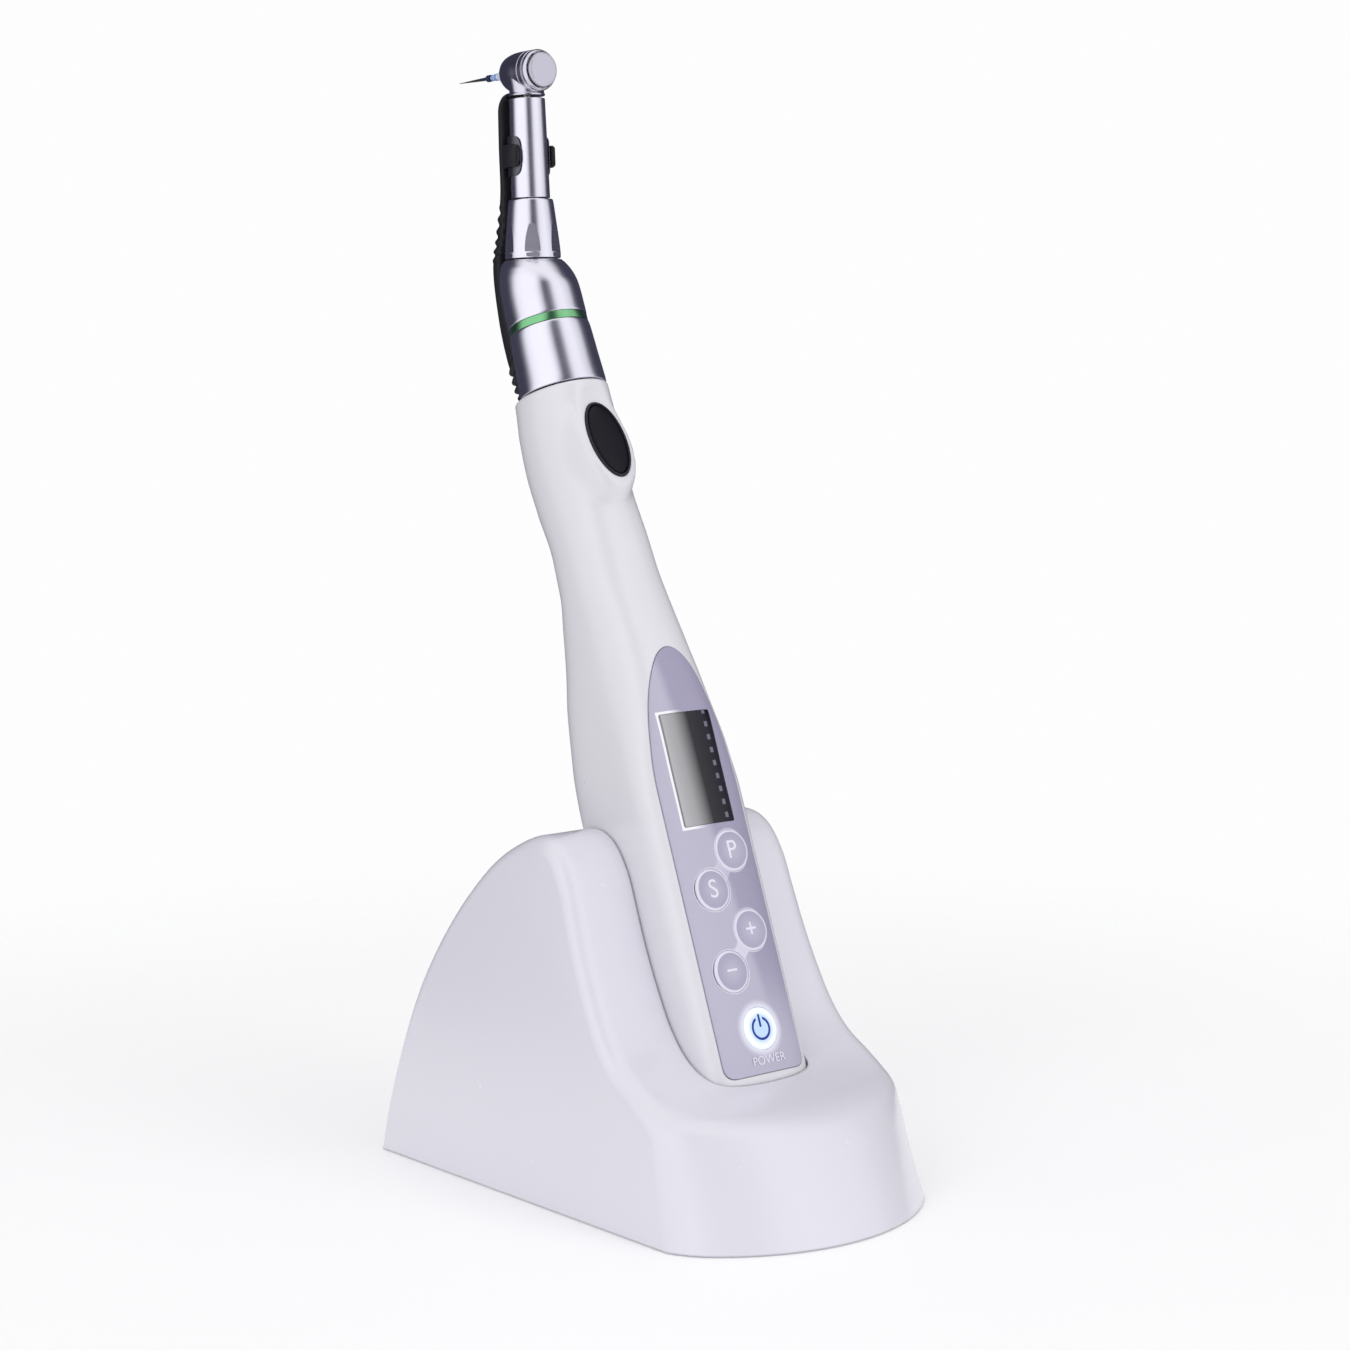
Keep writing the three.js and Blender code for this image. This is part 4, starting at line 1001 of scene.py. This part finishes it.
# ---------------------------------------------------------------- contra-angle, neck
# A tapered tube on a stepped collar. Six flats are ground into the collar for the spanner.
# They slope out of its taper, so that each one ends in a pointed arch.
FLAT_TURN, FLAT_HALF = math.radians(22), 3.5
FLAT_CUT = [(6.12, 1.7), (5.72, 8), (8, 8), (8, 1.7)]
LEDGE_CUT = [(6.22, 0.55), (6.22, 1.45), (8, 1.45), (8, 0.55)]
collar_line = fine_line(
    ((4.6, 0.3), (6.2, 0.3)),
    ((6.36, 0.42), (6.4, 1.0), (6.36, 2.0), (6.2, 4), (5.75, 8), (5.25, 12.4), (5.08, 13.45)),
    ((4.95, 13.68), (3.2, 13.7)), ((3.2, 5), (4.6, 4)))
collar = turned("collar_form", collar_line, NECK, 192)
for i in range(6):
    turn = Matrix.Rotation(math.radians(60 * i) + FLAT_TURN, 4, "Z")
    for cut in (FLAT_CUT, LEDGE_CUT):
        sides = [[(x, y, z) for y, z in cut] for x in (-FLAT_HALF, FLAT_HALF)]
        carve(collar, skin("cutter", sides, NECK @ turn))
settle(collar, "contra_angle", "head_metal", satin_steel, "neck_collar", crease=5)
tube_line = joined_round([(2.6, 14), (4.45, 14), (4.1, 36.5), (2.6, 36.5)], 0.2)
settle(turned("neck_sleeve", tube_line, NECK, 144), "contra_angle", "head_metal", satin_steel, "neck_tube")


# ---------------------------------------------------------------- contra-angle, head
# A polished barrel with a flared skirt that meets the neck, and a satin push cap in its mouth.
# Pressing the cap lets the file go.
HEAD_HEIGHT = 42.5
HEAD_UPRIGHT = NECK @ Matrix.Translation((0, 0, HEAD_HEIGHT * MM))
HEAD = HEAD_UPRIGHT @ Matrix.Rotation(math.radians(90), 4, "X")
mirror_steel = metal("mirror steel", (0.58, 0.565, 0.63), (0.64, 0.625, 0.69), 0.08, (1, 1, 20), 1e-6)
barrel = fine_line(
    ((2.1, -6.2), (3, -5.92), (3.9, -4.9), (4.45, -3), (4.68, -0.8), (4.7, 1.5)),
    ((4.7, 2.3), (4.6, 2.38)), ((4.6, 2.52), (4.7, 2.6)),
    ((4.7, 3.9), (4.52, 4.0)), ((4.52, 4.25), (4.68, 4.35)),
    ((4.68, 4.9), (4.62, 5.15), (4.45, 5.5), (4.32, 5.66)),
    ((4.22, 5.66), (4.2, 5.5)), ((4.2, 3.6), (3.85, 3.6)), ((3.85, -3.2), (2.1, -3.2)))
housing = turned("head_barrel", barrel, HEAD, 144)
flare = through([(4.16, -5.05), (4.0, -4.75), (3.98, -4.3), (4.08, -3.5), (4.3, -2.4), (4.52, -1.2)], 6)
skirt_line = [(0, -5.42), (4.0, -5.42), (4.15, -5.36), *[tuple(p) for p in flare], (0, -1.2)]
skirt = turned("skirt", skirt_line, HEAD_UPRIGHT, 144)
carve(skirt, rod("gear_room", 4.1, -3, 6, HEAD))
carve(housing, skirt, "UNION")
carve(housing, rod("shaft_bore", 2.3, -9, -2, HEAD_UPRIGHT, 64))
settle(housing, "contra_angle", "head_metal", mirror_steel, "head_housing", crease=30)
cap_line = fine_line(
    ((0, 6.65), (3.42, 6.65)), ((3.5, 6.6), (3.58, 6.6)), ((3.68, 6.62), (3.82, 6.5), (3.9, 6.2)),
    ((3.9, 5.1), (3.84, 5.0)), ((3.1, 5), (3.1, 5.6)), ((0, 5.6),))
cap_steel = metal("cap steel", (0.6, 0.585, 0.65), (0.64, 0.625, 0.69), 0.34, (1, 1, 1), 3e-6)
settle(turned("release_cap", cap_line, HEAD, 144), "push_cap", "head_metal", cap_steel, "push_cap")


# ---------------------------------------------------------------- motor nose
# A turned steel stub on the front of the motor, with a groove that the sheath snaps into.
# It shows only when the contra-angle is pulled off.
nose = joined_round([
    (2.9, 157), (5, 157), (5, 158.4), (8, 158.4), (8, 161.6), (6.5, 161.6), (6.5, 171), (6, 171.6),
    (6, 172.6), (6.5, 173.2), (6.5, 175.4), (6, 176), (2.9, 176)], 0.15)
settle(turned("motor_nose", nose, MOTOR), "handpiece", "head_metal", satin_steel, "nose_collar")


# ---------------------------------------------------------------- file
# A tapered nickel-titanium wire with cut flutes, held in a pale blue moulded hub.
# Its neck carries a blue band, and a black rubber stop sits on the wire.
WIRE_TOP, WIRE_LONG, WIRE_STEPS, WIRE_TURN = -12.7, 12.74, 120, 0.22
WIRE_THICK, WIRE_POINT, WIRE_TIP = 0.42, 0.05, 0.02


def file_ring(radius, height, turn):
    """A section of the wire: a rounded square, turned a little more at each height."""
    ring = []
    for i in range(24):
        a = math.tau * i / 24
        reach = radius * (0.86 + 0.14 * math.cos(4 * a) ** 2)
        ring.append((reach * math.cos(a + turn), reach * math.sin(a + turn), height))
    return ring


def wire_vary(place):
    """Bare alloy, paler towards the point and heat-tinted blue near the hub."""
    z = parts_of(place)[2]
    tint = z.node("ShaderNodeValToRGB", {"stops": [
        (0.0, (0.02, 0.05, 0.2)), (0.22, (0.015, 0.03, 0.1)), (0.4, (0.05, 0.05, 0.06)),
        (0.7, (0.16, 0.16, 0.18)), (1.0, (0.3, 0.3, 0.34))]}, {0: (-13.0 - z) / 12.5})
    return {
        "Base Color": between(mottle(place, 900, 3) * 0.3, tint, (0.25, 0.25, 0.28)),
        "Roughness": 0.22 + 0.15 * mottle(place, 2500, 2),
        "Normal": relief(mottle(place, 3000, 2), 4e-6),
    }


hub_blue = plain_plastic("hub plastic", (0.62, 0.7, 0.88), (0.72, 0.79, 0.93), 0.28, 1800, 4e-6, 0.0001)
band_blue = plain_plastic("hub band", (0.16, 0.3, 0.66), (0.22, 0.38, 0.74), 0.3, 1800, 4e-6, 0.00008)
wire_metal = finish("file alloy", {"Metallic": 0.9}, wire_vary)
hub = fine_line(
    ((0, 1.5), (1.15, 1.5)), ((1.15, -7.2), (1.5, -7.2)),
    ((1.72, -7.3), (1.8, -7.5), (1.74, -8.0), (1.4, -8.8), (0.95, -9.6), (0.72, -10.4), (0.62, -11.4),
     (0.58, -12.7)),
    ((0.52, -12.78), (0, -12.8)))
settle(turned("file_hub", hub, HEAD, 72), "file", "file_metal", hub_blue, "file")
band = joined_round([(0.7, -10.6), (0.84, -10.6), (0.8, -11.3), (0.62, -11.3)], 0.04)
settle(turned("file_hub_band", band, HEAD, 72), "file", "file_metal", band_blue)
neck_band = joined_round([(0.58, -11.9), (0.74, -11.9), (0.72, -12.4), (0.54, -12.4)], 0.04)
settle(turned("file_neck_band", neck_band, HEAD, 48), "file", "file_metal", band_blue)
wire_rings = []
for i in range(WIRE_STEPS + 1):
    thick = WIRE_THICK * (1 - (i / WIRE_STEPS) ** 1.3) + WIRE_POINT
    wire_rings.append(file_ring(thick, WIRE_TOP - WIRE_LONG * i / WIRE_STEPS, WIRE_TURN * i))
wire_rings.append(file_ring(WIRE_TIP, WIRE_TOP - WIRE_LONG - 0.04, WIRE_TURN * WIRE_STEPS))
settle(skin("file_wire", wire_rings, HEAD), "file", "file_metal", wire_metal, crease=50)
stop = joined_round([(0.5, -14.35), (0.8, -14.35), (0.8, -13.05), (0.5, -13.05)], 0.16)
stop_rubber = plain_plastic("stop rubber", (0.012, 0.016, 0.04), (0.02, 0.026, 0.06), 0.6, 1500, 1e-5)
settle(turned("file_stop_ring", stop, HEAD, 48), "file", "stop_rubber", stop_rubber, "file_stop")


# ---------------------------------------------------------------- electrode arm
# A black moulded arm that follows the bend behind the neck, ribbed where the fingers hold it.
# Two short fingers round the neck tube, over a spring strip, clip it on.
def beside_neck(along, behind):
    """A place above the bend, so far along the neck and behind its axis."""
    return (behind * math.cos(BEND_ANGLE) - along * math.sin(BEND_ANGLE),
            BEND + along * math.cos(BEND_ANGLE) + behind * math.sin(BEND_ANGLE))


ARM_NEAR = [
    (10.75, 164), (10.5, 172), (9.75, 182), (9.65, 189), beside_neck(0.5, 8.05), beside_neck(6, 6.5),
    beside_neck(14, 5.5), beside_neck(26, 5.25), beside_neck(38.3, 5.3),
]
ARM_FAR = [
    (12.5, 164), (13.3, 170), (13.9, 177), (13.5, 185), beside_neck(-1, 11.2), beside_neck(6, 9.3),
    beside_neck(15, 7.3), beside_neck(26, 7.15), beside_neck(38.3, 6.7),
]
ARM_HALF, ARM_SQUARE = 3.5, 0.4
near_side, far_side = through(ARM_NEAR, 24), through(ARM_FAR, 24)
arm_rings = []
for k, (near, far) in enumerate(zip(near_side, far_side)):
    share = k / (len(near_side) - 1)
    tip = math.sqrt(max(1 - max((share - 0.955) / 0.046, 0) ** 2, 0.03))
    low_ribs = eased(share, 0.035, 0.06) * eased(-share, -0.2, -0.17)
    high_ribs = eased(share, 0.5, 0.53) * eased(-share, -0.735, -0.7)
    swell = (0.36 * low_ribs * math.cos(math.tau * share / 0.043)
             + 0.22 * high_ribs * math.cos(math.tau * share / 0.04))
    half = ARM_HALF * min(1, 0.5 + 14 * share) * tip + 0.9 * swell
    depth = far - near
    ring = []
    for c, s in circle(40):
        side = math.copysign(abs(c) ** ARM_SQUARE, c) * half
        reach = 0.5 + 0.5 * math.copysign(abs(s) ** ARM_SQUARE, s)
        spot = near + depth * reach + depth.normalized() * (swell * reach if s > 0 else 0)
        ring.append((side, spot.x, spot.y))
    arm_rings.append(ring)
arm = skin("electrode_arm_form", arm_rings, MOTOR)


CLIP_PAST = 28


def clip_arc(name, inner, outer, low, high, ends, place, corner):
    """A strip bent round the neck from behind, to so many degrees past its sides, with rounded ends."""
    rings, count = [], 72
    for i in range(count + 1):
        angle = math.radians(-ends + (180 + 2 * ends) * i / count)
        run = min(i, count - i) / count * math.radians(180 + 2 * ends) * outer
        drawn = corner - math.sqrt(max(corner ** 2 - max(corner - run, 0) ** 2, 0)) if run < corner else 0
        thin = min(1, 0.55 + run)
        middle = (inner + outer) / 2
        a, b = middle - (middle - inner) * thin, middle + (outer - middle) * thin
        z0, z1 = low + drawn, high - drawn
        edge = min((b - a) * 0.3, (z1 - z0) * 0.3)
        section = [(a + edge, z0), (b - edge, z0), (b, z0 + edge), (b, z1 - edge),
                   (b - edge, z1), (a + edge, z1), (a, z1 - edge), (a, z0 + edge)]
        rings.append([(r * math.cos(angle), r * math.sin(angle), z) for r, z in section])
    return skin(name, rings, place)


carve(arm, clip_arc("clip_fingers", 5.15, 6.2, 21, 26, CLIP_PAST, NECK, 1.4), "UNION")
arm_black = plain_plastic(
    "arm plastic", (0.01, 0.01, 0.013), (0.017, 0.017, 0.021), 0.34, 1600, 6e-6, 0.00025, gloss=0.25)
settle(arm, "contra_angle", "arm_plastic", arm_black, "electrode_arm", crease=50)
strip = clip_arc("clip_strip", 4.6, 4.85, 19, 28, CLIP_PAST, NECK, 2.2)
strip_steel = metal("blued spring strip", (0.1, 0.1, 0.115), (0.16, 0.16, 0.18), 0.3)
settle(strip, "contra_angle", "inner_metal", strip_steel, "clip_spring", crease=40)


# ---------------------------------------------------------------- drive and electrics inside
# The motor, its gear train, the springs, the cell and the boards keep the CAD's own solids.
# Cut steel, bronze, a printed sleeve and plated contacts give each its surface.
def sleeve_vary(place):
    bands = stripes(parts_of(place)[2], 0.05, 0.4, 0.42)
    return {
        "Base Color": between(bands, (0.03, 0.09, 0.3), (0.6, 0.62, 0.66)),
        "Roughness": 0.3 + 0.15 * mottle(place, 300),
        "Normal": relief(mottle(place, 200, 3), 3e-5, 0.0003),
    }


gear_steel = metal("gear steel", (0.4, 0.4, 0.42), (0.55, 0.55, 0.57), 0.25, (1, 1, 12), 4e-6, 0.00006)
spring_steel = metal("spring steel", (0.45, 0.44, 0.42), (0.58, 0.57, 0.55), 0.3, (1, 1, 6))
cell_sleeve = finish("cell sleeve", {"IOR": 1.5}, sleeve_vary)
dress(gear_steel, "motor_rotor", "input_shaft", "planet_carrier", "neck_shaft", "chuck_spindle", "ring_gear",
      *numbered("planet_gear", 3))
dress(spring_steel, "cap_spring", "motor_can")
dress(cell_sleeve, "battery_cell")
